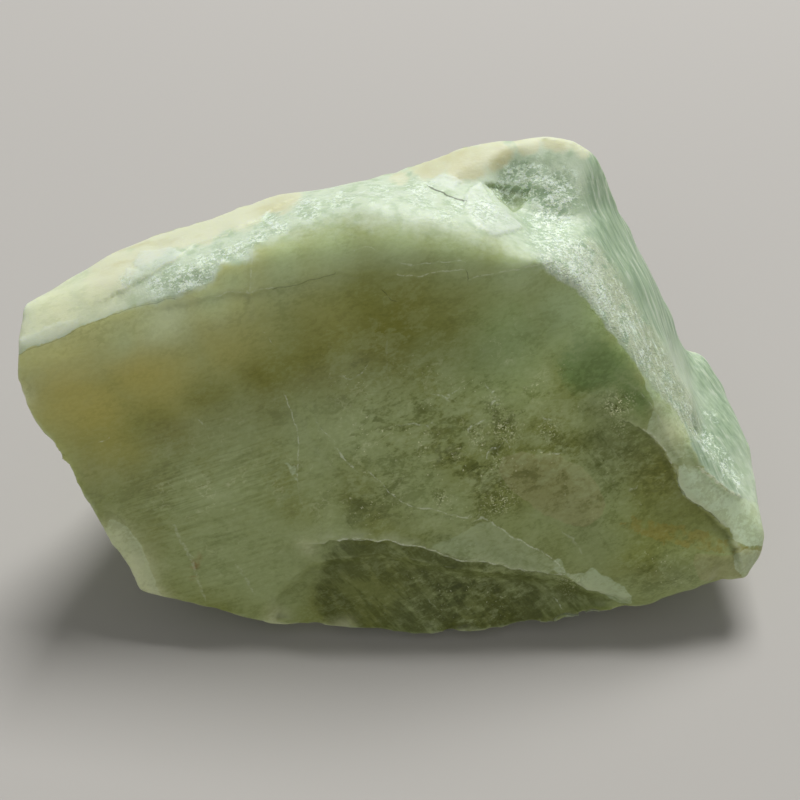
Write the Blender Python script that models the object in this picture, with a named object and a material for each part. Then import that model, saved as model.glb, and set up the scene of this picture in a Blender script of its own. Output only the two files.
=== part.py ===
"""Rough aquamarine: one broken chunk of cloudy green beryl, about 59 mm long, resting on a flat.

The chunk is a single solid, and it is laid out as blunt blocks that are merged into one crystal:
the slab with the broad leaning front face, the crest behind its right end, the flank that runs
down from the crest, the saddle between them, and the low shoulder beyond the flank. A notch is
split out under the crest, shallow shells are flaked off front and back, and the whole skin is left
uneven, as broken beryl is. Places below are in millimetres from the middle of the front foot: x to
the right, y to the back, z up.
"""

from dataclasses import dataclass
from math import cos, radians, sin

import bmesh
import bpy
import numpy as np
from mathutils import Vector, noise

MM = 0.001

# Driving dimensions, in millimetres.
SKIN_STEP = 0.42          # spacing of the even skin that is sculpted
MOST_TRIANGLES = 9000     # of the finished faceted solid
RIM_SOFTNESS = 2          # rounds of smoothing that blunt the broken edges
FLAKE_RUN = 1.0           # how far the small step down at a flaked edge runs
LEAN = 25.0               # degrees that the front face leans back from upright

# Cosines between a skin's outward direction and a side's: it starts to count as part of that side
# at the first, and counts fully from the second.
PARTLY_TURNED = 0.5
FULLY_TURNED = 0.8

# The slab. Its front face runs from the foot up to the rim, and its top falls away to the back.
SLAB = {
    "left end, lower front": (-28.6, 7.7, 17.3),
    "left end, front": (-28.9, 9.2, 20.7),
    "left end, rim": (-28.8, 10.4, 22.6),
    "left end, top": (-29.0, 13.2, 24.5),
    "left end, back": (-29.0, 16.5, 22.8),
    "left end, low back": (-25.5, 20.0, 14.0),
    "rim over the left end": (-20.1, 11.6, 25.6),
    "rim shoulder": (-11.0, 13.0, 28.8),
    "rim roll, front": (-2.9, 13.5, 30.2),
    "rim roll, right of the front": (5.1, 13.0, 29.0),
    "rim roll, left": (-9.0, 15.2, 30.0),
    "rim roll, top": (-2.9, 16.0, 31.6),
    "rim roll, right of the top": (1.5, 15.9, 31.3),
    "rim roll at the notch": (5.1, 15.4, 30.3),
    "rim, right": (11.0, 13.0, 28.5),
    "top back, left": (-26.7, 18.0, 23.1),
    "top back, left middle": (-19.3, 20.2, 27.0),
    "top back, middle": (-12.1, 22.0, 28.8),
    "top back, right middle": (-4.8, 22.5, 29.5),
    "top back, right": (-0.4, 24.0, 29.6),
    "cheek edge, top": (15.5, 10.7, 23.9),
    "cheek edge, upper": (17.6, 8.8, 19.9),
    "cheek edge, middle": (20.4, 6.2, 14.3),
    "cheek edge, lower": (23.4, 4.4, 10.4),
    "cheek edge, foot": (26.3, 2.8, 7.0),
    "cheek, outer top": (18.6, 9.5, 20.2),
    "cheek, outer upper": (21.3, 9.6, 17.4),
    "cheek, outer middle": (23.0, 9.6, 15.6),
    "cheek, outer low": (23.7, 9.2, 13.5),
    "right corner, top": (29.4, 7.0, 8.5),
    "right corner": (29.9, 4.9, 7.3),
    "right corner, low": (29.6, 3.9, 5.7),
    "right corner, foot": (28.3, 2.8, 4.5),
    "foot, far right": (21.4, 1.7, 4.0),
    "foot, right": (16.2, 1.0, 3.2),
    "foot, right of the middle": (11.6, 0.1, 1.2),
    "foot, lowest": (4.1, 0.0, 1.4),
    "foot, middle": (0.0, -0.2, 0.9),
    "foot, left of the middle": (-7.3, 0.1, 1.3),
    "foot, left": (-11.4, 0.4, 2.0),
    "foot, far left": (-17.0, 1.4, 4.0),
    "left corner, foot": (-20.4, 1.5, 4.1),
    "left corner": (-21.6, 1.8, 5.0),
    "brow, left": (-5.2, 1.3, 7.4),
    "brow, middle": (1.6, 1.0, 7.3),
    "brow, right": (8.0, 0.9, 5.6),
    "back, left": (-20.0, 27.0, 9.0),
    "back, middle": (-5.0, 30.5, 8.0),
    "back, right": (12.0, 31.0, 9.0),
    "heel, left": (-16.0, 25.5, -2.5),
    "heel, middle": (-4.0, 29.3, -2.5),
    "heel, right": (14.0, 29.0, -2.5),
    "sole, left back": (-17.0, 20.0, -2.5),
    "sole, left": (-14.5, 11.5, -2.5),
    "sole, left front": (-8.0, 8.0, -2.5),
    "sole, front": (4.0, 8.2, -2.5),
    "sole, right front": (16.0, 9.2, -2.5),
    "sole, right": (23.0, 12.5, -2.5),
}

# The crest: the high lump behind the right end of the slab, steep towards the front.
CREST = {
    "left end": (-4.0, 24.3, 28.7),
    "left": (2.5, 25.5, 30.4),
    "left middle": (5.5, 26.2, 31.5),
    "middle": (10.6, 26.4, 31.3),
    "peak": (13.2, 26.2, 32.2),
    "right": (15.1, 25.9, 32.1),
    "right end": (16.4, 25.5, 30.9),
    "brow, left end": (-2.0, 22.0, 28.9),
    "brow, left": (2.4, 22.5, 30.1),
    "brow, middle": (6.7, 23.5, 29.7),
    "brow, right": (10.6, 25.6, 30.9),
    "foot at the notch": (8.9, 21.0, 27.8),
    "foot, right of the notch": (12.0, 20.4, 27.5),
    "foot, right": (14.6, 20.0, 27.2),
    "flank ridge, top": (18.3, 25.0, 27.1),
    "flank ridge, middle": (20.7, 24.0, 22.8),
    "back, left": (-7.0, 27.0, 18.0),
    "back, top left": (0.0, 28.0, 26.0),
    "back, top middle": (7.0, 29.5, 24.0),
    "back, top right": (17.0, 29.0, 22.0),
    "back, right": (21.0, 26.0, 14.0),
    "back, low": (6.0, 31.4, 10.0),
    "heel, right": (16.0, 29.0, -2.5),
    "heel, left": (-4.0, 29.4, -2.5),
}

# The flank: the long side that runs down to the right from the crest, with a band along its front.
FLANK = {
    "saddle, front": (11.0, 13.1, 28.5),
    "saddle, back": (8.9, 20.9, 27.7),
    "saddle, right": (14.4, 20.4, 27.2),
    "band, top": (12.9, 12.6, 27.4),
    "band, middle": (14.6, 11.5, 25.4),
    "band, low": (15.6, 10.9, 23.6),
    "front, upper": (18.4, 9.6, 19.9),
    "front, middle": (21.3, 9.7, 17.6),
    "front, foot": (23.2, 9.9, 15.8),
    "foot": (25.5, 13.0, 11.8),
    "ridge, top": (18.3, 24.8, 27.0),
    "ridge, middle": (20.7, 24.0, 22.8),
    "ridge, low": (23.4, 22.5, 18.1),
    "ridge, foot": (25.6, 21.0, 14.4),
    "back, top": (15.0, 27.0, 24.0),
    "back, right": (23.5, 26.0, 12.0),
    "heel, right": (20.0, 27.5, -2.5),
    "heel, left": (2.0, 28.0, -2.5),
    "sole, right": (24.5, 16.0, -2.5),
    "sole, front": (10.0, 8.0, 1.0),
}

# What broke away beyond the foot of the flank, down to the shoulder.
STEP = {
    "crease, top": (25.7, 20.4, 14.2),
    "crease, upper": (25.8, 19.0, 12.9),
    "crease, middle": (26.0, 16.5, 12.1),
    "crease, low": (25.5, 13.0, 11.8),
    "crease, front": (24.5, 11.0, 11.9),
    "crease, foot": (23.8, 8.4, 11.3),
    "under the crease, top": (23.2, 24.0, 9.0),
    "under the crease, foot": (22.8, 8.0, 7.5),
    "outside, top": (40.0, 24.0, 20.0),
    "outside, front": (40.0, 6.0, 14.0),
    "outside, low back": (40.0, 24.0, 5.0),
    "outside, low front": (40.0, 5.0, 5.0),
}

# The shoulder: the low swelling that stands out below and behind the flank.
SHOULDER = {
    "top, back": (27.4, 21.5, 13.8),
    "top, inner back": (24.5, 22.0, 14.0),
    "top, middle": (29.0, 19.5, 12.0),
    "top, front": (29.4, 16.0, 10.3),
    "front": (30.1, 12.0, 9.2),
    "front, low": (30.1, 8.5, 7.9),
    "crease, middle": (25.6, 16.5, 12.0),
    "crease, low": (25.0, 13.0, 11.7),
    "crease, front": (24.0, 11.0, 11.8),
    "cheek, top": (23.6, 8.6, 11.6),
    "cheek, upper": (26.3, 8.4, 10.4),
    "cheek, middle": (28.0, 7.9, 9.1),
    "cheek, end": (29.5, 7.2, 8.4),
    "right corner": (29.8, 5.4, 7.2),
    "cheek edge, middle": (21.4, 6.0, 13.0),
    "cheek edge, lower": (23.4, 4.5, 10.3),
    "cheek edge, foot": (26.4, 3.0, 6.9),
    "foot, front": (28.0, 4.8, 4.0),
    "foot, middle": (28.4, 12.0, 1.8),
    "foot, back": (26.8, 22.5, 2.2),
    "back": (24.5, 25.0, 10.0),
    "heel": (21.0, 26.6, -2.5),
    "sole": (24.0, 13.0, -2.5),
}

# The saddle: what joins slab, crest and flank behind the rim, and falls away to the right.
SADDLE = {
    "top, back left": (1.0, 22.6, 30.2),
    "top, back": (6.7, 23.4, 29.6),
    "top, left": (0.0, 19.0, 30.7),
    "top, front": (5.1, 15.6, 30.3),
    "middle": (5.0, 21.0, 29.9),
    "right, back": (8.9, 21.0, 28.0),
    "right, middle": (9.8, 18.6, 28.1),
    "right, front": (11.0, 13.6, 28.5),
    "under, left": (2.0, 21.0, 22.0),
    "under, back": (10.0, 24.0, 22.0),
    "under, front": (10.0, 14.5, 22.0),
    "under, right": (13.0, 19.0, 25.0),
}

# The notch: the pit in the angle between saddle, crest and flank.
NOTCH = {
    "bottom, front": (9.1, 20.4, 27.5),
    "bottom, left": (8.4, 22.4, 27.9),
    "bottom, right": (9.8, 22.6, 28.3),
    "wall, left": (7.0, 23.6, 30.1),
    "wall, top": (8.3, 24.4, 30.6),
    "wall, right": (9.9, 25.0, 30.7),
    "lip, right": (11.0, 22.0, 28.9),
    "lip, front": (10.8, 19.6, 28.4),
    "above, left": (6.9, 22.8, 34.0),
    "above, far": (9.3, 25.2, 34.0),
    "above, near": (10.2, 19.3, 33.0),
    "above, right": (11.2, 22.6, 34.0),
}

# Shell-shaped breaks: middle of each on the skin, the way it faces, radius of its ball, and depth.
SHELL_BREAKS = {
    "left end, low front": ((-24.6, 4.2, 10.2), (-0.84, -0.35, -0.41), 30.0, 0.7),
    "left end, back": ((-27.3, 18.6, 17.0), (-0.75, 0.60, 0.05), 16.0, 1.5),
    "back, upper left": ((-17.5, 22.9, 20.5), (-0.15, 0.93, 0.30), 24.0, 1.9),
    "back, upper middle": ((-3.0, 27.6, 20.0), (0.15, 0.94, 0.30), 19.0, 2.0),
    "back, low left": ((-13.0, 28.4, 8.0), (-0.30, 0.92, 0.20), 17.0, 2.3),
    "back, low middle": ((2.0, 31.0, 6.0), (-0.10, 0.98, 0.05), 22.0, 1.9),
    "back, upper right": ((12.0, 29.6, 17.5), (0.25, 0.95, 0.15), 27.0, 1.7),
    "back, low right": ((18.5, 28.2, 5.0), (0.55, 0.83, 0.05), 16.0, 1.9),
    "right, behind the shoulder": ((25.5, 25.0, 9.0), (0.80, 0.60, 0.05), 13.0, 1.0),
}


@dataclass
class Side:
    """One side of the chunk, seen along y: what is pushed in and out on it, as paths in x and z."""

    facing: tuple     # the way that the side looks
    forms: dict       # name: (path, half width, height outwards)
    flakes: dict      # name: (edge, drop of the flaked side, how far the hollow reaches)


# The flaked side of an edge is on the right of someone who walks along it, seen from the front.
FRONT = Side(
    facing=(0.0, -cos(radians(LEAN)), sin(radians(LEAN))),
    forms={
        "lip under the rim": (
            [(-27.0, 19.8), (-17.0, 22.6), (-8.0, 26.2), (1.0, 28.2), (8.0, 27.6)], 3.0, 0.8),
        "trough under the lip": (
            [(-24.0, 14.6), (-15.3, 18.0), (-7.6, 21.2), (1.0, 23.6), (11.0, 24.4)], 3.6, -1.1),
        "hollow left of the brow": ([(-12.5, 3.6), (-9.5, 7.6)], 2.6, -0.4),
        "hollow inside the cheek": ([(14.6, 19.5), (17.6, 13.8), (20.0, 10.5)], 2.2, -0.5),
        "swelling over the right foot": ([(21.0, 6.0), (27.0, 5.6)], 2.4, 0.4),
    },
    flakes={
        "under the brow": (
            [(-11.0, 2.2), (-9.6, 5.4), (-7.6, 7.4), (-5.2, 8.1), (-1.2, 8.7), (4.0, 7.3), (11.2, 5.9),
             (17.7, 3.4)], 0.9, 9.0),
        "below the long ridge": (
            [(-6.2, 17.2), (-2.0, 13.2), (1.6, 11.2), (7.1, 10.1), (11.6, 7.6), (16.5, 4.7)], 0.4, 4.0),
    },
)
BACK = Side(
    facing=(0.0, cos(radians(12.0)), sin(radians(12.0))),
    forms={
        "bulge low on the left": ([(-18.0, 8.0), (-8.0, 6.0)], 4.0, 0.6),
        "bulge on the right": ([(10.0, 24.0), (18.0, 18.0)], 4.0, 0.5),
    },
    flakes={},
)

# Unevenness of the broken skin: (grain size, height), and the share of it on the front face.
GRAINS = ((9.0, 0.55), (3.4, 0.22), (1.5, 0.10))
FRONT_SHARE = 0.45


def clear_scene():
    for thing in list(bpy.data.objects):
        bpy.data.objects.remove(thing)


def link(name, mesh):
    made = bpy.data.objects.new(name, mesh)
    bpy.context.scene.collection.objects.link(made)
    return made


def as_cutter(thing):
    thing.hide_render = True
    thing.display_type = "WIRE"
    return thing


def block(name, corners):
    """The convex block that has these corners."""
    mesh = bpy.data.meshes.new(name)
    shape = bmesh.new()
    for corner in corners.values():
        shape.verts.new(Vector(corner) * MM)
    made = bmesh.ops.convex_hull(shape, input=shape.verts)
    inside = {v for v in made["geom_interior"] + made["geom_unused"] if isinstance(v, bmesh.types.BMVert)}
    bmesh.ops.delete(shape, geom=list(inside), context="VERTS")
    bmesh.ops.recalc_face_normals(shape, faces=shape.faces)
    shape.to_mesh(mesh)
    shape.free()
    return link(name, mesh)


def ball(name, middle, facing, radius, depth):
    """The ball that scoops this deep a shell out of the skin that faces this way."""
    centre = Vector(middle) + Vector(facing).normalized() * (radius - depth)
    mesh = bpy.data.meshes.new(name)
    shape = bmesh.new()
    bmesh.ops.create_icosphere(shape, subdivisions=5, radius=radius * MM)
    bmesh.ops.translate(shape, verts=shape.verts, vec=centre * MM)
    shape.to_mesh(mesh)
    shape.free()
    return link(name, mesh)


def boolean(thing, other, operation):
    step = thing.modifiers.new(f"{operation.lower()} {other.name}", "BOOLEAN")
    step.operation = operation
    step.solver = "EXACT"
    step.object = as_cutter(other)


def evaluated_mesh(thing):
    """A new mesh with the object's modifiers worked in."""
    graph = bpy.context.evaluated_depsgraph_get()
    return bpy.data.meshes.new_from_object(thing.evaluated_get(graph))


def work_in(thing):
    """Replaces the object's mesh by the one that its modifiers make."""
    bpy.context.view_layer.update()
    thing.data = evaluated_mesh(thing)
    thing.modifiers.clear()


def cleave():
    """The chunk with flat breaks: the blocks made one, then the notch and the shells taken off."""
    stone = block("aquamarine", SLAB)
    boolean(stone, block("crest block", CREST), "UNION")
    boolean(stone, block("flank block", FLANK), "UNION")
    boolean(stone, block("saddle block", SADDLE), "UNION")
    boolean(stone, block("step cutter", STEP), "DIFFERENCE")
    boolean(stone, block("shoulder block", SHOULDER), "UNION")
    boolean(stone, block("notch cutter", NOTCH), "DIFFERENCE")
    for name, shell in SHELL_BREAKS.items():
        boolean(stone, ball(f"{name} cutter", *shell), "DIFFERENCE")
    work_in(stone)
    return stone


def even_skin(stone):
    """Gives the chunk an even skin that can be sculpted, with its broken edges slightly blunted."""
    skin = stone.modifiers.new("even skin", "REMESH")
    skin.mode = "VOXEL"
    skin.voxel_size = SKIN_STEP * MM
    blunt = stone.modifiers.new("blunted edges", "SMOOTH")
    blunt.factor = 0.5
    blunt.iterations = RIM_SOFTNESS
    work_in(stone)


def read_skin(stone):
    """Places in millimetres, and outward directions, of the skin's points."""
    count = len(stone.data.vertices)
    places = np.empty(count * 3)
    outward = np.empty(count * 3)
    stone.data.vertices.foreach_get("co", places)
    stone.data.vertices.foreach_get("normal", outward)
    return places.reshape(-1, 3) / MM, outward.reshape(-1, 3)


def write_skin(stone, places):
    stone.data.vertices.foreach_set("co", (places * MM).ravel())
    stone.data.update()


def along_path(points, path):
    """Distance of 2-D points from a path of straight runs, and the side that they are on: 1 on the
    right of someone who walks along it, and -1 on the left."""
    nearest = np.full(len(points), np.inf)
    side = np.ones(len(points))
    for start, end in zip(np.array(path[:-1]), np.array(path[1:])):
        run = end - start
        share = np.clip((points - start) @ run / (run @ run), 0, 1)
        away = points - (start + share[:, None] * run)
        distance = np.hypot(away[:, 0], away[:, 1])
        closer = distance < nearest
        turn = run[1] * away[:, 0] - run[0] * away[:, 1]
        side = np.where(closer, np.where(turn >= 0, 1.0, -1.0), side)
        nearest = np.minimum(nearest, distance)
    return nearest, side


def smooth_step(value):
    value = np.clip(value, 0, 1)
    return value * value * (3 - 2 * value)


def turned_towards(outward, facing):
    """How far each point belongs to the side that looks this way: 0 for not at all, to 1."""
    return smooth_step((outward @ facing - PARTLY_TURNED) / (FULLY_TURNED - PARTLY_TURNED))


def sculpt(stone, side):
    """Pushes one side in and out by its forms and its flaked shells."""
    places, outward = read_skin(stone)
    facing = np.array(side.facing)
    seen = places[:, [0, 2]]
    rise = np.zeros(len(places))
    for path, half_width, height in side.forms.values():
        distance, _ = along_path(seen, path)
        rise += height * np.exp(-((distance / half_width) ** 2))
    for edge, drop, reach in side.flakes.values():
        distance, hand = along_path(seen, edge)
        fallen = smooth_step(distance / FLAKE_RUN) * np.exp(-((distance / reach) ** 2))
        rise -= drop * fallen * (hand > 0)
    rise *= turned_towards(outward, facing)
    write_skin(stone, places + rise[:, None] * facing)


def roughen(stone):
    """Works the grain of the break into the whole skin, and less of it into the front face."""
    places, outward = read_skin(stone)
    heights = np.array([
        sum(height * noise.noise(Vector(place) / size) for size, height in GRAINS)
        for place in places
    ])
    heights *= 1 - (1 - FRONT_SHARE) * turned_towards(outward, np.array(FRONT.facing))
    write_skin(stone, places + heights[:, None] * outward)


def lighten(stone):
    """Keeps the triangles that the ridges need, and fewer on the flats."""
    stone.data.calc_loop_triangles()
    fewer = stone.modifiers.new("fewer triangles", "DECIMATE")
    fewer.ratio = MOST_TRIANGLES / len(stone.data.loop_triangles)
    fewer.use_collapse_triangulate = True
    work_in(stone)


def trim_base(stone):
    """Grinds the sole flat at the height of the resting face."""
    chunk = bmesh.new()
    chunk.from_mesh(stone.data)
    everything = chunk.verts[:] + chunk.edges[:] + chunk.faces[:]
    cut = bmesh.ops.bisect_plane(
        chunk, geom=everything, dist=0.0, plane_co=(0, 0, 0), plane_no=(0, 0, 1), clear_inner=True
    )
    outline = [edge for edge in cut["geom_cut"] if isinstance(edge, bmesh.types.BMEdge)]
    sole = bmesh.ops.contextual_create(chunk, geom=outline)["faces"]
    bmesh.ops.triangulate(chunk, faces=sole)
    bmesh.ops.recalc_face_normals(chunk, faces=chunk.faces)
    chunk.to_mesh(stone.data)
    chunk.free()


def centre(stone):
    """Moves the chunk so that the middle of its box, at its base, is the origin."""
    places, _ = read_skin(stone)
    low, high = places.min(axis=0), places.max(axis=0)
    middle = (low + high) / 2
    write_skin(stone, places - np.array([middle[0], middle[1], low[2]]))


def cloudy_beryl():
    finish = bpy.data.materials.new("cloudy beryl")
    finish.use_nodes = True
    shader = finish.node_tree.nodes["Principled BSDF"]
    shader.inputs["Base Color"].default_value = (0.36, 0.46, 0.27, 1.0)
    shader.inputs["Roughness"].default_value = 0.42
    shader.inputs["Metallic"].default_value = 0.0
    shader.inputs["IOR"].default_value = 1.58
    return finish


def main():
    clear_scene()
    stone = cleave()
    even_skin(stone)
    sculpt(stone, FRONT)
    sculpt(stone, BACK)
    roughen(stone)
    lighten(stone)
    trim_base(stone)
    centre(stone)
    stone.data.materials.clear()
    stone.data.materials.append(cloudy_beryl())
    for helper in [thing for thing in bpy.data.objects if thing is not stone]:
        bpy.data.objects.remove(helper)


main()
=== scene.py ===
# %% [markdown]
# # A rough aquamarine
#
# The real object is one loose chunk of beryl, the mineral that emerald and aquamarine are made of. It
# is cloudy, greyish olive green and about 59 mm long, and it has been left as it broke: no face is cut
# or polished. Its solid is already modelled and packed. This lesson loads that solid as a fixed frame,
# gives it a finer skin, and then a finish made of shader nodes alone. Nothing here moves or resizes it.

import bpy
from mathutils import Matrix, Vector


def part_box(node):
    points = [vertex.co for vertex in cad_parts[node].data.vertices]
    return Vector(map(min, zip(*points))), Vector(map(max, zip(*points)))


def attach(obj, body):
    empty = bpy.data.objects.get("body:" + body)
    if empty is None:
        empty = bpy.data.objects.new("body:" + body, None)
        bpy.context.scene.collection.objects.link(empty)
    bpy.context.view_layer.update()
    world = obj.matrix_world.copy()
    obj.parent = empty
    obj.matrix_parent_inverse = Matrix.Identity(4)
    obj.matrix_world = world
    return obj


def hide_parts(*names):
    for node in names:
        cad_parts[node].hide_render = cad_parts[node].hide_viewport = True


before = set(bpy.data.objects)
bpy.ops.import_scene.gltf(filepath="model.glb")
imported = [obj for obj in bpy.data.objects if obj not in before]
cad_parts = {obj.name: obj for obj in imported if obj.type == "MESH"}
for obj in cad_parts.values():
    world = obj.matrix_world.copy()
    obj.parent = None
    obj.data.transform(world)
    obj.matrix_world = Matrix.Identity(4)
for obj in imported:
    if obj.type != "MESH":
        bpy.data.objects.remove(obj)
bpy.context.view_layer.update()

# %% [markdown]
# ## Tools and units
#
# Blender works in metres, but nobody thinks about a stone in metres. So every place below is given in
# millimetres from the middle of the chunk's front foot: x to the right, y to the back, z up. One
# corner of the solid's own box and one measured distance are enough to find that foot.

# %% Tools and units
from math import cos, log2, radians, sin, tan

import bmesh
import bpy
import numpy as np
from mathutils import Vector, noise

MM = 0.001
LEFT_OF_FOOT = 29.23      # from the box's left side to the middle of the front foot, in millimetres

stone_low, stone_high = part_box("aquamarine")
foot = Vector((stone_low.x + LEFT_OF_FOOT * MM, stone_low.y, stone_low.z))


def place(x, y, z):
    """A place in stone millimetres, as a point of the scene in metres."""
    return foot + Vector((x, y, z)) * MM


print("front foot at", [round(v / MM, 2) for v in foot], "mm in the frame")

# %% [markdown]
# ## The camera
#
# Someone looks down at the chunk from close by, as one looks at a stone on a table. The lens follows
# from the field of view: half the sensor over the tangent of half the angle. Depth of field stays off.

# %% The camera
EYE = (0.0, -48.2, 66.4)   # where the eye is, in stone millimetres
LOOKS_DOWN = 40.0          # degrees below the horizon
FIELD_OF_VIEW = 45.0       # degrees
SENSOR_WIDTH = 36.0        # of the camera, in its own millimetres

lens = bpy.data.cameras.new("eye")
lens.sensor_width = SENSOR_WIDTH
lens.lens = SENSOR_WIDTH / 2 / tan(radians(FIELD_OF_VIEW / 2))
lens.clip_start = 1 * MM
lens.clip_end = 20.0
eye = bpy.data.objects.new("eye", lens)
eye.location = place(*EYE)
eye.rotation_euler = (radians(90 - LOOKS_DOWN), 0, 0)
bpy.context.scene.collection.objects.link(eye)
bpy.context.scene.camera = eye
print("lens", round(lens.lens, 1), "mm")

# %% [markdown]
# ## Shader maths as Python
#
# A finish is a small program that runs at every point of a surface, written as a tree of nodes. Typing
# a tree out node by node hides the formula. So a value that comes out of a node is wrapped in a small
# class here: adding or multiplying two such values adds the Math node that does it, and the line reads
# like the formula that it is. Colours and vectors have their own nodes, because a Math node would turn
# a colour grey. Every other node comes from one method: its type, its settings, then its inputs.

# %% Shader maths as Python
class Flow:
    """What comes out of a node. Arithmetic on it adds Math nodes."""

    def __init__(self, finish, socket):
        self.finish = finish
        self.socket = socket

    def _math(self, operation, first, second):
        return self.finish.node("ShaderNodeMath", {"operation": operation}, {0: first, 1: second})

    def __add__(self, other):
        return self._math("ADD", self, other)

    def __sub__(self, other):
        return self._math("SUBTRACT", self, other)

    def __rsub__(self, other):
        return self._math("SUBTRACT", other, self)

    def __mul__(self, other):
        return self._math("MULTIPLY", self, other)

    def __pow__(self, other):
        return self._math("POWER", self, other)

    def __abs__(self):
        return self._math("ABSOLUTE", self, 0.0)

    def larger(self, other):
        return self._math("MAXIMUM", self, other)

    def smaller(self, other):
        return self._math("MINIMUM", self, other)

    __radd__ = __add__
    __rmul__ = __mul__


class Finish:
    """A material, and the one way to add nodes to it."""

    def __init__(self, name):
        self.material = bpy.data.materials.new(name)
        self.material.use_nodes = True
        self.tree = self.material.node_tree
        self.shader = self.tree.nodes["Principled BSDF"]

    def feed(self, socket, value):
        if isinstance(value, Flow):
            self.tree.links.new(value.socket, socket)
        else:
            socket.default_value = value

    def node(self, kind, settings=None, inputs=None, out=0):
        """Adds a node of this kind: settings first, then its inputs by name or number."""
        made = self.tree.nodes.new(kind)
        for name, value in (settings or {}).items():
            setattr(made, name, value)
        for name, value in (inputs or {}).items():
            self.feed(made.inputs[name], value)
        return Flow(self, made.outputs[out])

    def ramp(self, value, start, end, low=0.0, high=1.0):
        """Goes smoothly from low to high while the value goes from start to end."""
        return self.node("ShaderNodeMapRange", {"interpolation_type": "SMOOTHSTEP"},
                         {"Value": value, "From Min": start, "From Max": end, "To Min": low, "To Max": high})

    def tint(self, share, under, over, how="MIX"):
        """One colour over another, by this share."""
        return self.node("ShaderNodeMix", {"data_type": "RGBA", "blend_type": how, "clamp_factor": True},
                         {0: share, 6: under, 7: over}, out=2)

    def vector(self, operation, first, second):
        return self.node("ShaderNodeVectorMath", {"operation": operation}, {0: first, 1: second})


def colour(red, green, blue):
    """A colour given as a screen shows it, 0 to 255, in the light units that shaders work in."""
    parts = [v / 255 for v in (red, green, blue)]
    return tuple(v / 12.92 if v <= 0.04045 else ((v + 0.055) / 1.055) ** 2.4 for v in parts) + (1.0,)


print("a middle grey of 128 is", round(colour(128, 128, 128)[0], 3), "as light")

# %% [markdown]
# ## Floor and light
#
# The chunk lies on a plain pale floor. Broken stone shows its shape by how light rakes over it, so
# there is one soft, wide light high behind it, a little to the right: the top is bright, the broad
# face is lit only from the side and the foot stands in its own shadow. A pale surrounding fills in.

# %% Floor and light
FLOOR_SIZE = 3.0                       # metres
FLOOR_COLOUR = colour(184, 181, 176)
SURROUND = (colour(208, 208, 206), 0.32)   # colour and strength of the light from all round
KEY = {"at": (150.0, 520.0, 900.0), "towards": (2.0, 12.0, 14.0), "size": 400.0, "watts": 10.0}
FILL = {"at": (-400.0, -900.0, 500.0), "towards": (0.0, 8.0, 12.0), "size": 700.0, "watts": 1.6}


def make_floor():
    bpy.ops.mesh.primitive_plane_add(size=FLOOR_SIZE, location=(0, 0, stone_low.z))
    made = bpy.context.object
    made.name = "floor"
    finish = Finish("plain floor")
    finish.feed(finish.shader.inputs["Base Color"], FLOOR_COLOUR)
    finish.feed(finish.shader.inputs["Roughness"], 0.9)
    made.data.materials.append(finish.material)
    return made


def make_light(name, at, towards, size, watts):
    """A square soft light that looks at a place, both given in stone millimetres."""
    lamp = bpy.data.lights.new(name, "AREA")
    lamp.size = size * MM
    lamp.energy = watts
    made = bpy.data.objects.new(name, lamp)
    made.location = place(*at)
    made.rotation_euler = (place(*towards) - made.location).to_track_quat("-Z", "Y").to_euler()
    bpy.context.scene.collection.objects.link(made)
    return made


def make_surround():
    world = bpy.data.worlds.new("pale surround")
    world.use_nodes = True
    background = world.node_tree.nodes["Background"]
    background.inputs["Color"].default_value = SURROUND[0]
    background.inputs["Strength"].default_value = SURROUND[1]
    bpy.context.scene.world = world


floor = make_floor()
key = make_light("key", **KEY)
fill = make_light("fill", **FILL)
make_surround()
bpy.context.scene.view_settings.view_transform = "Standard"
print("key light is", round((key.location - foot).length / MM), "mm from the foot")

# %% [markdown]
# ## A finer skin
#
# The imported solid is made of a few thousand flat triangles, which is right for weighing and colliding,
# but close up they read as a low-polygon model. A broken face has no such facets. The Remesh modifier
# in voxel mode lays an even net of small squares over the solid, and that net can then be moved point
# by point. It is copied first, because the frame itself is never changed.

# %% A finer skin
SKIN_STEP = 0.2           # spacing of the net, in millimetres


def worked_in(thing):
    """The mesh that the object's modifiers make, as a mesh of its own."""
    graph = bpy.context.evaluated_depsgraph_get()
    return bpy.data.meshes.new_from_object(thing.evaluated_get(graph))


def fine_copy(source, name):
    """A closed, evenly meshed copy of a node."""
    shape = bmesh.new()
    shape.from_mesh(source.data)
    bmesh.ops.remove_doubles(shape, verts=shape.verts, dist=0.001 * MM)
    mesh = bpy.data.meshes.new(name)
    shape.to_mesh(mesh)
    shape.free()
    mesh.materials.clear()
    made = bpy.data.objects.new(name, mesh)
    bpy.context.scene.collection.objects.link(made)
    net = made.modifiers.new("even net", "REMESH")
    net.mode = "VOXEL"
    net.voxel_size = SKIN_STEP * MM
    bpy.context.view_layer.update()
    made.data = worked_in(made)
    made.modifiers.clear()
    return made


chunk = fine_copy(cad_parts["aquamarine"], "aquamarine_chunk")
print("fine skin:", len(chunk.data.vertices), "points")

# %% [markdown]
# ## The skin as arrays
#
# Moving a hundred thousand points one by one is slow in Python, and numpy moves them all at once. Two
# helpers read the points and write them back. The third averages each point with its neighbours, which
# smooths the skin, and comparing the skin with its smoothed self tells ridges from hollows.

# %% The skin as arrays
def read_points(thing):
    """Places in stone millimetres, and outward directions, of the points of a skin."""
    count = len(thing.data.vertices)
    places = np.empty(count * 3)
    outward = np.empty(count * 3)
    thing.data.vertices.foreach_get("co", places)
    thing.data.vertices.foreach_get("normal", outward)
    return (places.reshape(-1, 3) - np.array(foot)) / MM, outward.reshape(-1, 3)


def write_points(thing, places):
    thing.data.vertices.foreach_set("co", (places * MM + np.array(foot)).ravel())
    thing.data.update()


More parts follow.
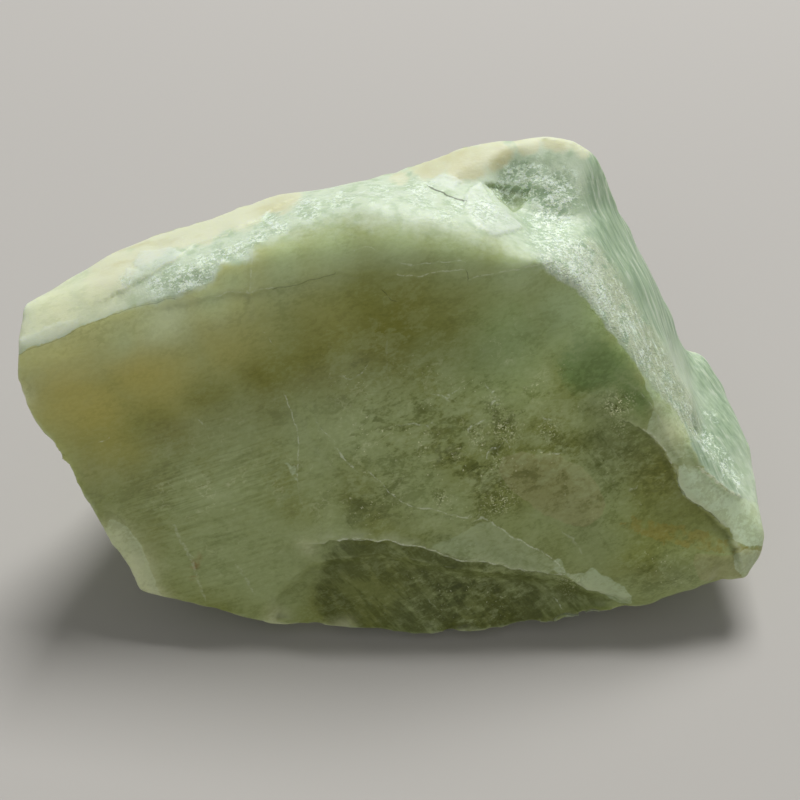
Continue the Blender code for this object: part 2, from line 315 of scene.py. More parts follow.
def smoothed(thing, values, rounds):
    """Values at the points, each averaged with its neighbours this many times."""
    count = len(thing.data.vertices)
    ends = np.empty(len(thing.data.edges) * 2, dtype=np.int64)
    thing.data.edges.foreach_get("vertices", ends)
    ends = ends.reshape(-1, 2)
    here = np.concatenate([ends[:, 0], ends[:, 1]])
    there = np.concatenate([ends[:, 1], ends[:, 0]])
    neighbours = np.bincount(here, minlength=count)
    for _ in range(rounds):
        columns = [np.bincount(here, weights=column[there], minlength=count) for column in values.T]
        values = 0.5 * values + 0.5 * np.column_stack(columns) / neighbours[:, None]
    return values


def smooth_step(value, start=0.0, end=1.0):
    """0 before start, 1 after end, and an even bend between."""
    share = np.clip((value - start) / (end - start), 0, 1)
    return share * share * (3 - 2 * share)


places, outward = read_points(chunk)
print("skin reaches from", places.min(axis=0).round(1), "to", places.max(axis=0).round(1), "mm")

# %% [markdown]
# ## Flats smooth, edges crisp
#
# Broken beryl has calm faces that meet in sharp, slightly chipped edges. Smoothing the whole net calms
# the faces but melts the edges. So the skin goes to its smoothed self only where the two are close
# together, on the faces. Where they are far apart there is an edge, and it is pushed out again.

# %% Flats smooth, edges crisp
CALM_ROUNDS = 26          # of smoothing
CALM_BELOW = 0.05         # a point this close to its smoothed self lies on a face, in millimetres
EDGE_ABOVE = 0.16         # a point this far from it lies on an edge
EDGE_PUSH = 1.35          # how much of the distance an edge gets back
TEETH_ROUNDS = 2          # of smoothing that take the net's own teeth off the edges


def calm_faces(thing):
    places, outward = read_points(thing)
    places = smoothed(thing, places, TEETH_ROUNDS)
    calm = smoothed(thing, places, CALM_ROUNDS)
    apart = np.abs(((places - calm) * outward).sum(axis=1))
    share = EDGE_PUSH * smooth_step(apart, CALM_BELOW, EDGE_ABOVE)
    write_points(thing, calm + smoothed(thing, share[:, None] * (places - calm), TEETH_ROUNDS))
    return int((share > 1).sum())


print("points on edges:", calm_faces(chunk))

# %% [markdown]
# ## A chart for the marks
#
# Steps, cracks and stains have places, and one flat chart is easier to draw on than a lumpy skin. The
# chart is the chunk as seen from 40 degrees above its front. A mark is a list of places on it, in
# millimetres: across, to the right, and up the slope. Marks are drawn only on the skin that looks that
# way. The distance from a mark has a sign, plus on the right of someone walking along it.

# %% A chart for the marks
CHART_TILT = radians(40)
CHART_FACING = np.array([0, -cos(CHART_TILT), sin(CHART_TILT)])


def chart_of(places):
    up = places[:, 1] * sin(CHART_TILT) + places[:, 2] * cos(CHART_TILT)
    return np.column_stack([places[:, 0], up])


def from_mark(points, mark):
    """Signed distance of chart points from a mark, which is a path of straight runs."""
    nearest = np.full(len(points), np.inf)
    signed = np.zeros(len(points))
    for start, end in zip(np.array(mark[:-1]), np.array(mark[1:])):
        run = end - start
        share = np.clip((points - start) @ run / (run @ run), 0, 1)
        away = points - (start + share[:, None] * run)
        distance = np.hypot(away[:, 0], away[:, 1])
        turn = run[1] * away[:, 0] - run[0] * away[:, 1]
        closer = distance < nearest
        signed = np.where(closer, np.where(turn >= 0, distance, -distance), signed)
        nearest = np.minimum(nearest, distance)
    return signed


def depth_in(points, outline):
    """How deep chart points lie inside a closed outline: minus outside it."""
    closed = outline + outline[:1]
    distance = np.abs(from_mark(points, closed))
    crossed = np.zeros(len(points), dtype=int)
    for (x0, y0), (x1, y1) in zip(closed[:-1], closed[1:]):
        if y0 != y1:
            beside = points[:, 0] < x0 + (points[:, 1] - y0) * (x1 - x0) / (y1 - y0)
            crossed += ((y0 > points[:, 1]) != (y1 > points[:, 1])) & beside
    return np.where(crossed % 2 == 1, distance, -distance)


def patch_mask(points, spots):
    """Soft round spots, each (across, up, radius, strength), the strongest of them at every point."""
    mask = np.zeros(len(points))
    for across, up, radius, strength in spots:
        away = np.hypot(points[:, 0] - across, points[:, 1] - up) / radius
        mask = np.maximum(mask, strength * np.exp(-(away ** 2)))
    return mask


print("the chart looks along", CHART_FACING.round(2))

# %% [markdown]
# ## Noise for a natural look
#
# Nothing on a stone is ruled. Perlin noise gives smooth, even lumps of a chosen size. Squeezing the
# places along a direction before asking for noise draws the lumps out that way, which makes grooves
# and streaks. Shifting the chart a little by noise turns a straight run into a broken line.

# %% Noise for a natural look
def grain(places, size, seed=0.0):
    """Smooth noise between -1 and 1, with lumps of about this size in millimetres."""
    shift = Vector((seed, -seed, 0.5 * seed))
    return np.array([noise.noise(Vector(place) / size + shift) for place in places])


def along(places, direction, stretch):
    """The places squeezed along a direction, so that noise on them is drawn out that way."""
    direction = np.array(direction) / np.linalg.norm(direction)
    length = places @ direction
    return places - np.outer(length * (1 - 1 / stretch), direction)


def ragged(places, seed=3.0, wide=0.22, fine=0.14):
    """Chart places shifted a little by noise."""
    shift = [wide * grain(places, 3.0, seed + k) + fine * grain(places, 0.7, seed + k + 5) for k in (0, 1)]
    return chart_of(places) + np.column_stack(shift)


GROWTH = (0.92, 0.15, 0.36)        # the way the crystal grew, which draws out its streaks
STRIAE = (0.95, 0.12, 0.30)        # fine parallel lines at the lower left
DOWN_FLANK = (0.38, -0.63, -0.68)  # the way the flank is grooved
FEATHER = (0.66, -0.36, -0.66)     # the way the dark feathers below the middle run
print("noise at the foot:", round(float(grain(np.zeros((1, 3)) + 0.4, 3.0)[0]), 2))

# %% [markdown]
# ## The marks
#
# These are the lines that make this chunk this chunk. The rim, where the frosted top meets the smooth
# front, the lip crease below it, the brow over the foot, the long ridge that slants down the face, and
# the crease that parts the face from the pale cheek at the right end.

# %% The marks
RIM = [(-29.5, 22.9), (-27.5, 23.8), (-25.2, 24.8), (-21.5, 26.3), (-19.2, 27.0), (-16.7, 27.5),
       (-14.0, 28.5), (-13.2, 30.0), (-11.1, 30.1), (-10.8, 31.2), (-9.9, 31.6), (-7.2, 32.8),
       (-3.9, 33.4), (-0.5, 33.3), (3.7, 32.7), (5.6, 32.2), (7.3, 31.9), (8.8, 31.2), (11.0, 29.6),
       (13.1, 28.3), (14.9, 26.6), (15.8, 25.4), (16.9, 24.0), (18.4, 22.3), (19.6, 20.9),
       (20.9, 19.7), (22.0, 18.4), (22.8, 16.9), (23.4, 15.6), (23.9, 14.5), (25.0, 13.6),
       (26.3, 12.7), (27.4, 12.0), (30.5, 11.0)]
LEDGE = [(-21.2, 28.0), (-19.5, 28.9), (-18.6, 29.3), (-17.0, 30.2), (-16.3, 31.1), (-15.6, 31.9),
         (-14.5, 32.3), (-13.4, 32.6), (-12.5, 33.1), (-11.5, 33.8), (-9.4, 35.2)]
LIP = [(-16.4, 27.0), (-13.7, 27.5), (-12.5, 27.8), (-11.0, 27.6), (-9.3, 28.1), (-8.1, 28.4),
       (-6.4, 28.8), (-4.7, 29.3), (-2.8, 29.1), (-0.2, 29.1), (1.1, 28.9), (2.9, 29.3), (4.9, 29.2),
       (7.2, 29.3), (8.8, 29.6), (10.4, 30.0)]
UPRIGHT_STEP = [(-11.0, 30.2), (-11.0, 27.6)]
BROW = [(-4.7, 8.8), (-2.5, 9.0), (-0.9, 9.0), (0.2, 8.6), (2.4, 8.1), (3.5, 7.6), (5.0, 7.2),
        (6.2, 7.1), (9.0, 6.5), (10.3, 6.3), (12.1, 5.8), (14.1, 5.2), (15.1, 4.6), (16.4, 4.3),
        (17.9, 3.4)]
LONG_RIDGE = [(-2.5, 14.5), (-1.5, 13.7), (-0.6, 12.6), (0.2, 11.9), (0.9, 11.6), (3.1, 11.2),
              (5.4, 10.7), (7.8, 9.9), (8.9, 9.2), (10.2, 8.4), (11.7, 7.6), (13.2, 6.1)]
CHEEK = [(19.3, 17.3), (19.8, 17.1), (20.7, 16.0), (21.2, 15.1), (21.7, 14.3),
         (21.8, 13.6), (22.5, 12.3), (23.9, 11.4), (25.3, 10.2), (26.2, 9.8), (26.6, 9.0), (26.9, 8.3)]
CHEEK_TOP = [(18.3, 20.5), (19.2, 19.7), (19.9, 18.8), (20.4, 17.9), (21.3, 16.3)]
CRUMBLE = [(22.9, 16.3), (23.8, 14.4), (24.9, 13.6), (25.6, 13.1), (26.4, 12.6), (27.3, 12.1)]
LEFT_FACET = [(-21.4, 9.8), (-20.3, 7.9), (-19.6, 5.2), (-19.2, 3.6)]
FLAKE_EDGE = [(6.4, 37.4), (6.9, 36.4), (7.4, 35.3), (8.5, 34.4), (9.6, 33.3)]
CRACK = [(2.5, 36.7), (3.7, 36.0), (4.9, 35.4)]
print("places on the rim:", len(RIM))

# %% [markdown]
# ## Plates
#
# Beryl breaks and heals in thin plates. Some lie on top as loose white flakes, others are sheets of
# tiny bubbles inside. The plate of kind shade is painted shade under the brow, and the recess is a real
# hollow in the frost whose green is darkened by painted shade. Each is an outline on the chart with one
# crisp edge all round it: a kind, which the finish will turn into a tint, a strength, and how far it
# stands up, in millimetres.

# %% Plates
PLATES = {   # name: (kind, strength, height, outline)
    "white flake": ("white", 0.7, 0.16, [
        (4.9, 35.4), (5.6, 36.8), (6.4, 37.4), (6.9, 36.4), (7.4, 35.3), (8.5, 34.4), (9.6, 33.3),
        (7.3, 31.9), (6.3, 32.4), (5.5, 33.2), (5.0, 34.4)]),
    "chip by the crack": ("white", 0.6, 0.10, [
        (2.4, 37.3), (3.2, 37.9), (4.5, 37.8), (5.0, 37.2), (4.3, 36.5), (3.2, 36.8)]),
    "strip at the left end": ("white", 0.4, 0.04, [
        (-28.8, 24.4), (-27.4, 25.0), (-26.0, 25.8), (-24.1, 26.0), (-24.0, 25.4), (-25.4, 24.7),
        (-27.3, 23.9), (-28.5, 23.9)]),
    "small triangle": ("white", 0.5, 0.06, [
        (-21.0, 28.4), (-20.8, 30.0), (-18.9, 29.4), (-19.7, 28.9), (-20.8, 28.3)]),
    "white patch": ("white", 0.6, 0.05, [
        (-20.2, 31.5), (-18.1, 31.7), (-16.5, 31.0), (-16.9, 30.1), (-18.4, 29.6), (-19.2, 29.5),
        (-20.4, 30.3)]),
    "cheek": ("pale", 0.85, 0.0, [
        (21.8, 13.6), (22.5, 12.3), (23.9, 11.4), (25.3, 10.2), (26.2, 9.8), (26.7, 8.7), (27.7, 8.3),
        (30.0, 7.9), (30.0, 10.9), (28.7, 12.1), (27.2, 12.1), (26.1, 12.7), (24.9, 13.6),
        (23.8, 14.4), (22.9, 14.8), (21.9, 14.8)]),
    "upper cheek": ("pale", 0.5, 0.0, [
        (19.0, 17.5), (19.8, 17.1), (20.7, 16.0), (21.2, 15.1), (21.9, 14.8), (22.9, 14.8),
        (23.8, 14.4), (23.3, 15.8), (22.9, 16.8), (22.5, 17.6), (22.0, 18.5), (21.3, 19.6),
        (20.0, 20.7), (18.5, 22.4), (18.9, 21.0), (19.6, 19.6), (19.4, 18.4)]),
    "corner": ("pale", 0.5, 0.0, [
        (26.8, 7.4), (27.7, 8.0), (29.9, 7.5), (29.5, 6.2), (28.3, 5.2), (27.2, 6.2)]),
    "foot wedge": ("pale", 0.45, 0.08, [
        (11.6, 6.9), (12.5, 7.4), (13.2, 6.1), (14.6, 6.1), (15.2, 6.7), (16.6, 5.9), (18.0, 4.8),
        (18.6, 3.9), (18.8, 3.4), (17.9, 3.3), (16.4, 4.3), (15.1, 4.6), (14.1, 5.2), (13.2, 5.9),
        (12.5, 5.9)]),
    "above the brow": ("pale", 0.22, 0.05, [
        (2.4, 8.2), (4.1, 7.6), (6.3, 7.1), (8.3, 6.7), (10.3, 6.3), (11.8, 5.9), (12.6, 6.7),
        (11.1, 7.9), (9.4, 9.0), (7.8, 9.9), (6.9, 10.4), (5.5, 9.9), (3.9, 9.1)]),
    "left facet": ("pale", 0.35, 0.0, [
        (-22.8, 10.6), (-21.4, 9.8), (-20.3, 7.9), (-19.6, 5.2), (-19.2, 3.2), (-21.5, 3.0), (-24.5, 8.0)]),
    "small veil": ("pale", 0.4, 0.0, [(-8.9, 15.2), (-7.9, 14.6), (-7.9, 13.0)]),
    "cloud lobe": ("pale", 0.07, 0.02, [
        (13.6, 19.8), (14.4, 20.4), (15.3, 20.8), (16.2, 20.8), (16.7, 20.1), (16.3, 19.3),
        (15.4, 19.4), (14.6, 19.5), (14.0, 19.0), (14.3, 18.2), (13.7, 18.8)]),
    # A real hollow in the frost, its green darkened with painted shade.
    "recess": ("hole", 0.7, -0.25, [
        (6.8, 37.3), (7.8, 37.3), (10.6, 37.1), (10.3, 35.9), (9.0, 34.7), (8.1, 35.5), (7.4, 36.4)]),
    # Painted shade under the brow, streaked by feathers.
    "under the brow": ("shade", 0.75, 0.0, [
        (-4.6, 8.9), (-0.9, 9.0), (2.4, 8.1), (5.0, 7.2), (9.0, 6.5), (12.1, 5.8), (14.7, 4.8),
        (17.1, 3.5), (13.2, 0.8), (5.7, 0.3), (0.0, 0.1), (-5.7, 0.6), (-7.0, 3.7), (-6.4, 6.3),
        (-5.3, 8.2)]),
    "left of the plate": ("dark", 0.40, 0.0, [
        (5.2, 14.6), (6.4, 15.0), (7.6, 14.7), (8.6, 13.1), (7.9, 12.0), (6.4, 11.9), (5.6, 12.8)]),
    "green spot": ("dark", 0.38, 0.0, [(6.9, 19.3), (8.7, 19.0), (8.9, 18.0), (7.9, 17.6), (7.0, 18.0)]),
    "second spot": ("dark", 0.38, 0.0, [(10.9, 17.2), (13.0, 17.0), (13.3, 15.9), (11.6, 15.9)]),
    "third spot": ("dark", 0.35, 0.0, [(2.3, 16.4), (4.6, 16.2), (4.8, 15.0), (2.9, 14.8)]),
    "behind the crease": ("dark", 0.28, 0.0, [
        (18.2, 17.6), (19.7, 17.0), (20.6, 15.9), (21.6, 14.2), (21.8, 13.0), (20.9, 12.0),
        (19.2, 12.6), (17.8, 14.2), (16.9, 15.8)]),
    "leaf": ("leaf", 0.75, 0.0, [
        (13.4, 24.6), (15.8, 24.3), (17.4, 22.6), (18.7, 21.0), (19.6, 19.5),
        (18.4, 18.9), (17.2, 19.6), (16.6, 20.9), (15.3, 20.8), (13.8, 20.6), (12.6, 21.4),
        (12.2, 22.9)]),
    "taupe plate": ("taupe", 0.6, 0.05, [
        (7.8, 15.5), (8.6, 15.7), (9.2, 15.9), (10.4, 15.6), (11.1, 15.7), (12.2, 15.8), (13.3, 15.1),
        (14.3, 14.5), (15.6, 13.0), (16.2, 11.7), (15.7, 10.5), (14.5, 9.7), (12.9, 10.1),
        (11.3, 10.9), (10.1, 11.7), (8.9, 12.6), (8.1, 13.4), (7.5, 14.5)]),
    "corner below": ("taupe", 0.6, 0.04, [
        (23.5, 7.7), (26.8, 7.5), (27.7, 8.0), (29.8, 7.5), (29.4, 6.3), (28.0, 5.2), (25.9, 5.1),
        (24.1, 5.4), (23.4, 6.8)]),
    "stain": ("stain", 0.6, 0.0, [
        (17.4, 10.1), (18.5, 10.5), (20.3, 10.3), (22.2, 10.0), (23.8, 9.6), (25.1, 9.0), (26.8, 8.3),
        (29.8, 7.9), (29.6, 7.2), (26.8, 7.7), (23.9, 8.0), (21.8, 8.4), (19.8, 9.0), (18.4, 9.4)]),
}
KINDS = sorted({kind for kind, _, _, _ in PLATES.values()})
print(len(PLATES), "plates of kinds", KINDS)

# %% [markdown]
# ## Hairlines
#
# The finest marks are hairlines: bright ones, which are painted highlights where a thin edge catches
# light and healed cracks that show, and dark ones, which are a few open cracks and painted shade along
# the left of the rim, the lip crease and the cheek crease. Each has a half width in millimetres and a
# strength.

# %% Hairlines
# Bright hairlines: painted highlights on thin edges, and healed cracks.
BRIGHT_LINES = [   # (half width, strength, mark)
    (0.07, 0.65, [(-5.0, 8.8), (-2.5, 9.0), (-0.9, 9.0), (0.2, 8.6), (2.4, 8.1), (3.5, 7.6), (5.0, 7.2),
                  (6.2, 7.1)]),
    (0.06, 0.5, [(6.2, 7.1), (9.0, 6.5), (10.3, 6.3), (12.1, 5.8), (13.2, 5.9)]),
    (0.05, 0.45, [(-6.4, 18.2), (-5.7, 17.5), (-5.1, 17.0)]),
    (0.08, 0.6, [(-4.8, 16.1), (-4.3, 15.3), (-3.5, 14.5)]),
    (0.05, 0.5, [(-2.5, 14.5), (-1.5, 13.7), (-0.6, 12.6), (0.2, 11.9), (0.9, 11.6), (3.1, 11.2),
                 (5.4, 10.7)]),
    (0.06, 0.5, [(6.2, 10.8), (7.8, 9.9), (8.9, 9.2), (10.2, 8.4), (11.7, 7.6), (13.2, 6.1)]),
    (0.10, 0.25, [(12.9, 9.4), (13.7, 8.6), (14.5, 7.6)]),
    (0.06, 0.45, [(-8.9, 20.4), (-8.5, 19.1), (-8.0, 17.6), (-7.9, 16.0), (-7.9, 13.2)]),
    (0.06, 0.4, [(-7.8, 12.5), (-7.6, 11.6)]),
    (0.05, 0.4, [(-13.7, 27.5), (-12.5, 27.8), (-11.0, 27.7), (-10.1, 27.9), (-9.3, 28.1)]),
    (0.05, 0.45, [(0.0, 29.9), (0.9, 29.7), (1.7, 30.0), (2.9, 30.0), (4.5, 30.1)]),
    (0.05, 0.4, [(-0.2, 29.1), (1.1, 28.9), (2.9, 29.3), (4.8, 29.6)]),
    (0.05, 0.35, [(5.1, 28.9), (7.2, 29.3), (8.8, 29.6), (10.2, 29.9)]),
    (0.05, 0.3, [(-3.5, 30.9), (-2.8, 31.1), (-2.0, 31.0)]),
    (0.06, 0.5, [(18.8, 17.6), (19.8, 17.1), (20.7, 16.0), (21.2, 15.1)]),
    (0.05, 0.3, [(18.3, 20.5), (19.2, 19.7), (19.9, 18.8), (20.4, 17.9)]),
    (0.06, 0.35, [(21.3, 19.6), (22.0, 18.5), (22.5, 17.6), (22.9, 16.8)]),
    (0.14, 0.85, [(23.6, 14.6), (24.9, 13.6), (25.6, 13.1), (26.4, 12.6), (27.2, 12.2)]),
    (0.10, 0.75, [(-20.6, 28.2), (-19.5, 28.9), (-18.6, 29.3), (-17.0, 30.2), (-16.3, 31.1),
                  (-15.6, 31.9), (-14.5, 32.3), (-13.4, 32.4), (-12.5, 33.0)]),
    (0.05, 0.3, [(-11.0, 30.1), (-11.0, 27.7)]),
    (0.08, 0.5, [(2.6, 20.4), (3.5, 20.2), (4.3, 20.5)]),
    (0.07, 0.4, [(3.5, 20.2), (3.8, 19.7)]),
    (0.09, 0.8, [(6.8, 20.8), (7.1, 20.3), (7.0, 19.7)]),
    (0.07, 0.7, [(7.3, 20.5), (7.5, 19.9)]),
    (0.07, 0.8, [(5.3, 17.5), (5.6, 17.9), (6.0, 18.0), (6.4, 18.3)]),
    (0.09, 0.8, [(6.6, 15.7), (6.8, 16.0), (7.2, 16.2)]),
    (0.06, 0.6, [(-4.3, 21.6), (-3.8, 21.4), (-3.2, 21.7), (-2.7, 22.0), (-2.5, 22.3)]),
    (0.06, 0.5, [(0.0, 17.9), (0.9, 18.0), (1.8, 17.8), (2.4, 17.2)]),
    (0.05, 0.5, [(1.8, 17.8), (2.4, 18.1)]),
    (0.06, 0.6, [(11.4, 15.6), (11.8, 15.8), (12.2, 15.8)]),
    (0.06, 0.5, [(10.7, 18.4), (11.1, 18.6), (11.5, 18.3)]),
    (0.06, 0.4, [(8.0, 16.8), (8.3, 16.3)]),
    (0.06, 0.5, [(5.8, 10.4), (6.4, 10.6)]),
    (0.05, 0.5, [(-23.3, 16.5), (-22.6, 16.9)]),
    (0.14, 0.25, [(-17.6, 9.6), (-16.7, 7.4), (-15.8, 4.0)]),
    (0.12, 0.20, [(-13.0, 6.9), (-11.8, 4.5)]),
    (0.06, 0.35, [(-15.6, 18.4), (-15.2, 18.0)]),
    (0.06, 0.5, [(2.4, 3.6), (2.9, 3.2)]),
    (0.08, 0.5, [(12.8, 3.5), (13.2, 3.0)]),
    (0.08, 0.4, [(18.1, 12.8), (18.6, 13.1)]),
    (0.08, 0.15, [(-1.1, 24.1), (-1.0, 22.8), (-0.9, 21.3)]),
    (0.05, 0.5, [(-10.0, 25.0), (-9.7, 24.5)]),
    (0.05, 0.5, [(5.5, 33.7), (6.3, 33.2), (5.8, 32.5), (5.5, 33.7)]),
]
# Dark hairlines: open cracks, and painted shade along the left of the rim, the cheek crease and the lip crease.
DARK_LINES = [
    (0.05, 0.7, [(-1.1, 27.8), (-0.7, 27.4), (-0.1, 27.3)]),
    (0.08, 0.7, [(2.5, 36.7), (3.7, 36.0), (4.9, 35.4)]),
    (0.05, 0.5, [(4.8, 29.6), (5.0, 29.0)]),
    (0.04, 0.3, [(-29.0, 23.1), (-27.5, 23.7), (-25.2, 24.7), (-21.5, 26.2), (-19.2, 26.9), (-16.7, 27.4)]),
    (0.05, 0.4, [(21.7, 14.3), (21.8, 13.6), (22.5, 12.3), (23.9, 11.4), (25.3, 10.2)]),
    (0.05, 0.35, [(-9.3, 28.0), (-8.1, 28.3), (-6.4, 28.7), (-4.7, 29.2)]),
]
print(len(BRIGHT_LINES), "bright and", len(DARK_LINES), "dark hairlines")

# %% [markdown]
# ## Kinds of skin
#
# Every point gets a share of each kind of skin. The front is smooth. Above the rim lies the frosted
# top, whose left end is waxy and whose crest is a smooth, cream-coloured skin. The flank at the right is
# grooved, and sugar is where the frost was crushed. What the chart can't see is the hidden side.

# %% Kinds of skin
SUGAR = [(-18.0, 28.2, 1.4, 0.6), (-16.2, 28.8, 1.4, 0.9), (-14.6, 29.5, 1.3, 1.0), (-13.3, 30.7, 0.9, 1.0),
         (-12.0, 31.1, 0.8, 0.9), (-10.6, 31.9, 0.9, 1.0), (-9.0, 32.8, 0.9, 0.9), (-7.0, 33.7, 0.9, 0.7),
         (-4.5, 34.4, 1.0, 0.5), (-1.5, 35.2, 1.2, 0.5), (1.5, 35.0, 1.3, 0.6), (3.4, 33.8, 1.1, 0.6),
         (-10.0, 33.4, 1.2, 0.7), (-7.0, 34.7, 1.3, 0.7), (-4.5, 35.3, 1.4, 0.7), (-1.5, 36.2, 1.4, 0.6),
         (1.5, 36.3, 1.5, 0.8), (4.5, 34.8, 1.2, 0.8),
         (-20.6, 28.9, 0.8, 0.5), (10.5, 37.5, 1.8, 1.0), (12.5, 36.5, 2.0, 1.0), (12.0, 34.0, 2.0, 1.0),
         (11.5, 32.0, 1.8, 0.9), (13.2, 31.6, 1.6, 0.7), (9.2, 38.2, 1.0, 0.9), (8.4, 36.6, 1.2, 0.9),
         (6.5, 34.6, 1.6, 0.7), (13.5, 29.6, 1.2, 0.7), (15.5, 28.0, 1.1, 0.6), (17.3, 26.0, 1.1, 0.6),
         (19.0, 23.6, 1.0, 0.6), (21.0, 21.3, 1.0, 0.5), (22.8, 19.2, 1.0, 0.6), (24.0, 17.6, 1.0, 0.6),
         (25.2, 16.2, 1.3, 0.9), (26.6, 14.8, 1.3, 0.9), (27.6, 13.4, 1.0, 0.7), (26.3, 18.4, 1.0, 0.5)]
CREAM = [(-22.1, 30.2, 2.6, 0.7), (-19.4, 32.2, 2.2, 0.9), (-15.6, 33.8, 2.2, 1.0), (-12.5, 34.9, 2.2, 1.0),
         (-9.5, 35.8, 1.8, 0.9), (-17.0, 32.6, 1.6, 0.8), (2.4, 39.0, 1.6, 0.9),
         (5.2, 39.2, 1.9, 1.0), (7.6, 40.0, 1.6, 1.0), (10.4, 41.0, 1.2, 0.9), (13.0, 41.4, 1.5, 1.0),
         (0.0, 37.8, 1.2, 0.6), (14.8, 40.6, 1.2, 0.7)]
WAX = [(-26.0, 26.6, 3.6, 1.0), (-23.0, 28.2, 2.8, 1.0), (-28.6, 25.0, 2.0, 0.8)]
CRUSHED_BAND = [(10.4, 30.6), (12.3, 32.0), (14.8, 32.6), (16.8, 30.2), (19.1, 26.6), (21.6, 23.4),
                (24.4, 20.6), (24.9, 17.4), (22.9, 16.8), (21.9, 18.0), (19.7, 21.0), (17.1, 24.0), (15.1, 26.3),
                (13.1, 28.2), (11.1, 29.4)]


CALM_DIRECTIONS = 10      # rounds of averaging, or the masks would flicker along the edges


def kinds_of_skin(thing, places, outward, points):
    """How much of each kind of skin every point has, from 0 to 1, by calmed outward directions."""
    outward = smoothed(thing, outward, CALM_DIRECTIONS)
    outward = outward / np.linalg.norm(outward, axis=1)[:, None]
    seen = smooth_step(outward @ CHART_FACING, 0.0, 0.25)
    top = seen * smooth_step(-from_mark(points, RIM), -0.05, 0.12)
    flank_side = smooth_step(outward @ np.array([0.86, -0.15, 0.48]), 0.55, 0.85)
    flank = flank_side * smooth_step(places[:, 0], 8.0, 13.0) * smooth_step(places[:, 2], 8.0, 12.0)
    return {
        "seen": seen,
        "top": top,
        "flank": flank,
        "band": seen * smooth_step(depth_in(points, CRUSHED_BAND), -0.8, 0.5),
        "sugar": top * patch_mask(points, SUGAR),
        "cream": top * patch_mask(points, CREAM),
        "wax": top * patch_mask(points, WAX),
        "base": smooth_step(-outward[:, 2], 0.90, 0.97) * smooth_step(-places[:, 2], -0.5, -0.2),
    }


places, outward = read_points(chunk)
chart = ragged(places)
kind = kinds_of_skin(chunk, places, outward, chart)
print({name: round(float(share.mean()), 3) for name, share in kind.items()})

# %% [markdown]
# ## A round shoulder
#
# In the middle the frosted top doesn't meet the face at an edge. It rolls over into it, and that is why
# the light fades so softly there. Averaging the net many times rolls any edge over. It is done only
# near the middle of the rim and along the crest of the flank.

# %% A round shoulder
ROLL_ROUNDS = 110
ROLL_SPOTS = [(-26.9, 15.4, 1.3, 1.0), (-7.0, 32.4, 2.6, 0.8), (-4.0, 33.0, 3.0, 1.0), (0.0, 33.0, 3.2, 1.0), (4.0, 32.4, 3.0, 1.0),
              (8.0, 31.0, 2.6, 0.9), (11.0, 29.8, 2.4, 0.8), (13.5, 27.8, 2.2, 0.6), (16.5, 24.4, 2.0, 0.5),
              (13.6, 39.0, 1.8, 0.9), (14.2, 36.5, 1.8, 0.9), (14.8, 33.8, 1.6, 0.7), (14.6, 40.6, 1.6, 0.8)]

rolled = smoothed(chunk, places, ROLL_ROUNDS)
roll = (patch_mask(chart, ROLL_SPOTS) * kind["seen"])[:, None]
write_points(chunk, places + roll * (rolled - places))
places, outward = read_points(chunk)
chart = ragged(places)
kind = kinds_of_skin(chunk, places, outward, chart)
print("rolled over by up to", np.linalg.norm(roll * (rolled - places), axis=1).max().round(2), "mm")

# %% [markdown]
# ## Steps and plates in relief
#
# A step is a drop on one side of a mark that fades out again further away, as a flake leaves it. A
# plate stands up or lies deeper inside its outline. Both are heights on the net, added up and laid on
# later in one move along the outward directions.

# %% Steps and plates in relief
STEPS = {   # name: (mark, drop on its right, how far the step runs, how far the drop reaches)
    "under the lip": (LIP, 0.10, 0.14, 1.8),
    "left of the upright step": (UPRIGHT_STEP, 0.09, 0.16, 1.6),
    "under the brow": (BROW, 0.38, 0.18, 3.0),
    "below the long ridge": (LONG_RIDGE, 0.10, 0.16, 1.6),
    "inside the cheek": (CHEEK, 0.42, 0.18, 2.6),
    "inside the upper cheek": (CHEEK_TOP, 0.16, 0.18, 1.4),
    "left facet": (LEFT_FACET, 0.12, 0.30, 2.0),
    "below the ledge": (LEDGE, 0.13, 0.18, 1.6),
}
BEADS = {   # name: (mark, half width, height)
    "crumbs over the cheek": (CRUMBLE, 0.24, 0.16),
    "open crack": (CRACK, 0.16, -0.22),
}


def relief_of(points):
    total = np.zeros(len(points))
    for mark, drop, run, reach in STEPS.values():
        signed = from_mark(points, mark)
        total -= drop * smooth_step(signed, 0, run) * np.exp(-(signed / reach) ** 2)
    for mark, half_width, height in BEADS.values():
        total += height * np.exp(-(from_mark(points, mark) / half_width) ** 2)
    for _, _, height, outline in PLATES.values():
        if height:
            total += height * smooth_step(depth_in(points, outline), -0.05, 0.18)
    return total


heights = relief_of(chart) * smoothed(chunk, smooth_step(outward @ CHART_FACING, 0.05, 0.35)[:, None], 8)[:, 0]
print("steps and plates go", heights.min().round(2), "to", heights.max().round(2), "mm")

# %% [markdown]
# ## Sugar, grooves and grain
#
# Where beryl was crushed it looks like wet sugar. It broke in small terraces, which come from noise cut
# into levels. The flank has long grooves, which are noise drawn out along it. All faces have a faint
# swell, and the hidden side is rougher.

# %% Sugar, grooves and grain
TERRACES = ((1.9, 0.26, 5), (0.8, 0.16, 4))   # (size, full height in millimetres, levels)
GROOVES = ((1.10, 0.05), (0.50, 0.03))        # (width, depth)
GRAIN = ((3.6, 0.05), (1.2, 0.02))            # (size, height)
SHARDS = ((9.0, 0.07), (4.0, 0.06), (1.8, 0.05))   # (size, tilt) of the hidden side's broken flats
TERRACE_EDGE = 0.35       # the share of a level that its slope takes up


def terraces(values, levels):
    """Values from 0 to 1 cut into levels with steep sides."""
    raised = np.clip(values, 0, 1) * levels
    floor_level = np.floor(raised)
    return (floor_level + smooth_step(raised - floor_level, 1 - TERRACE_EDGE, 1)) / levels


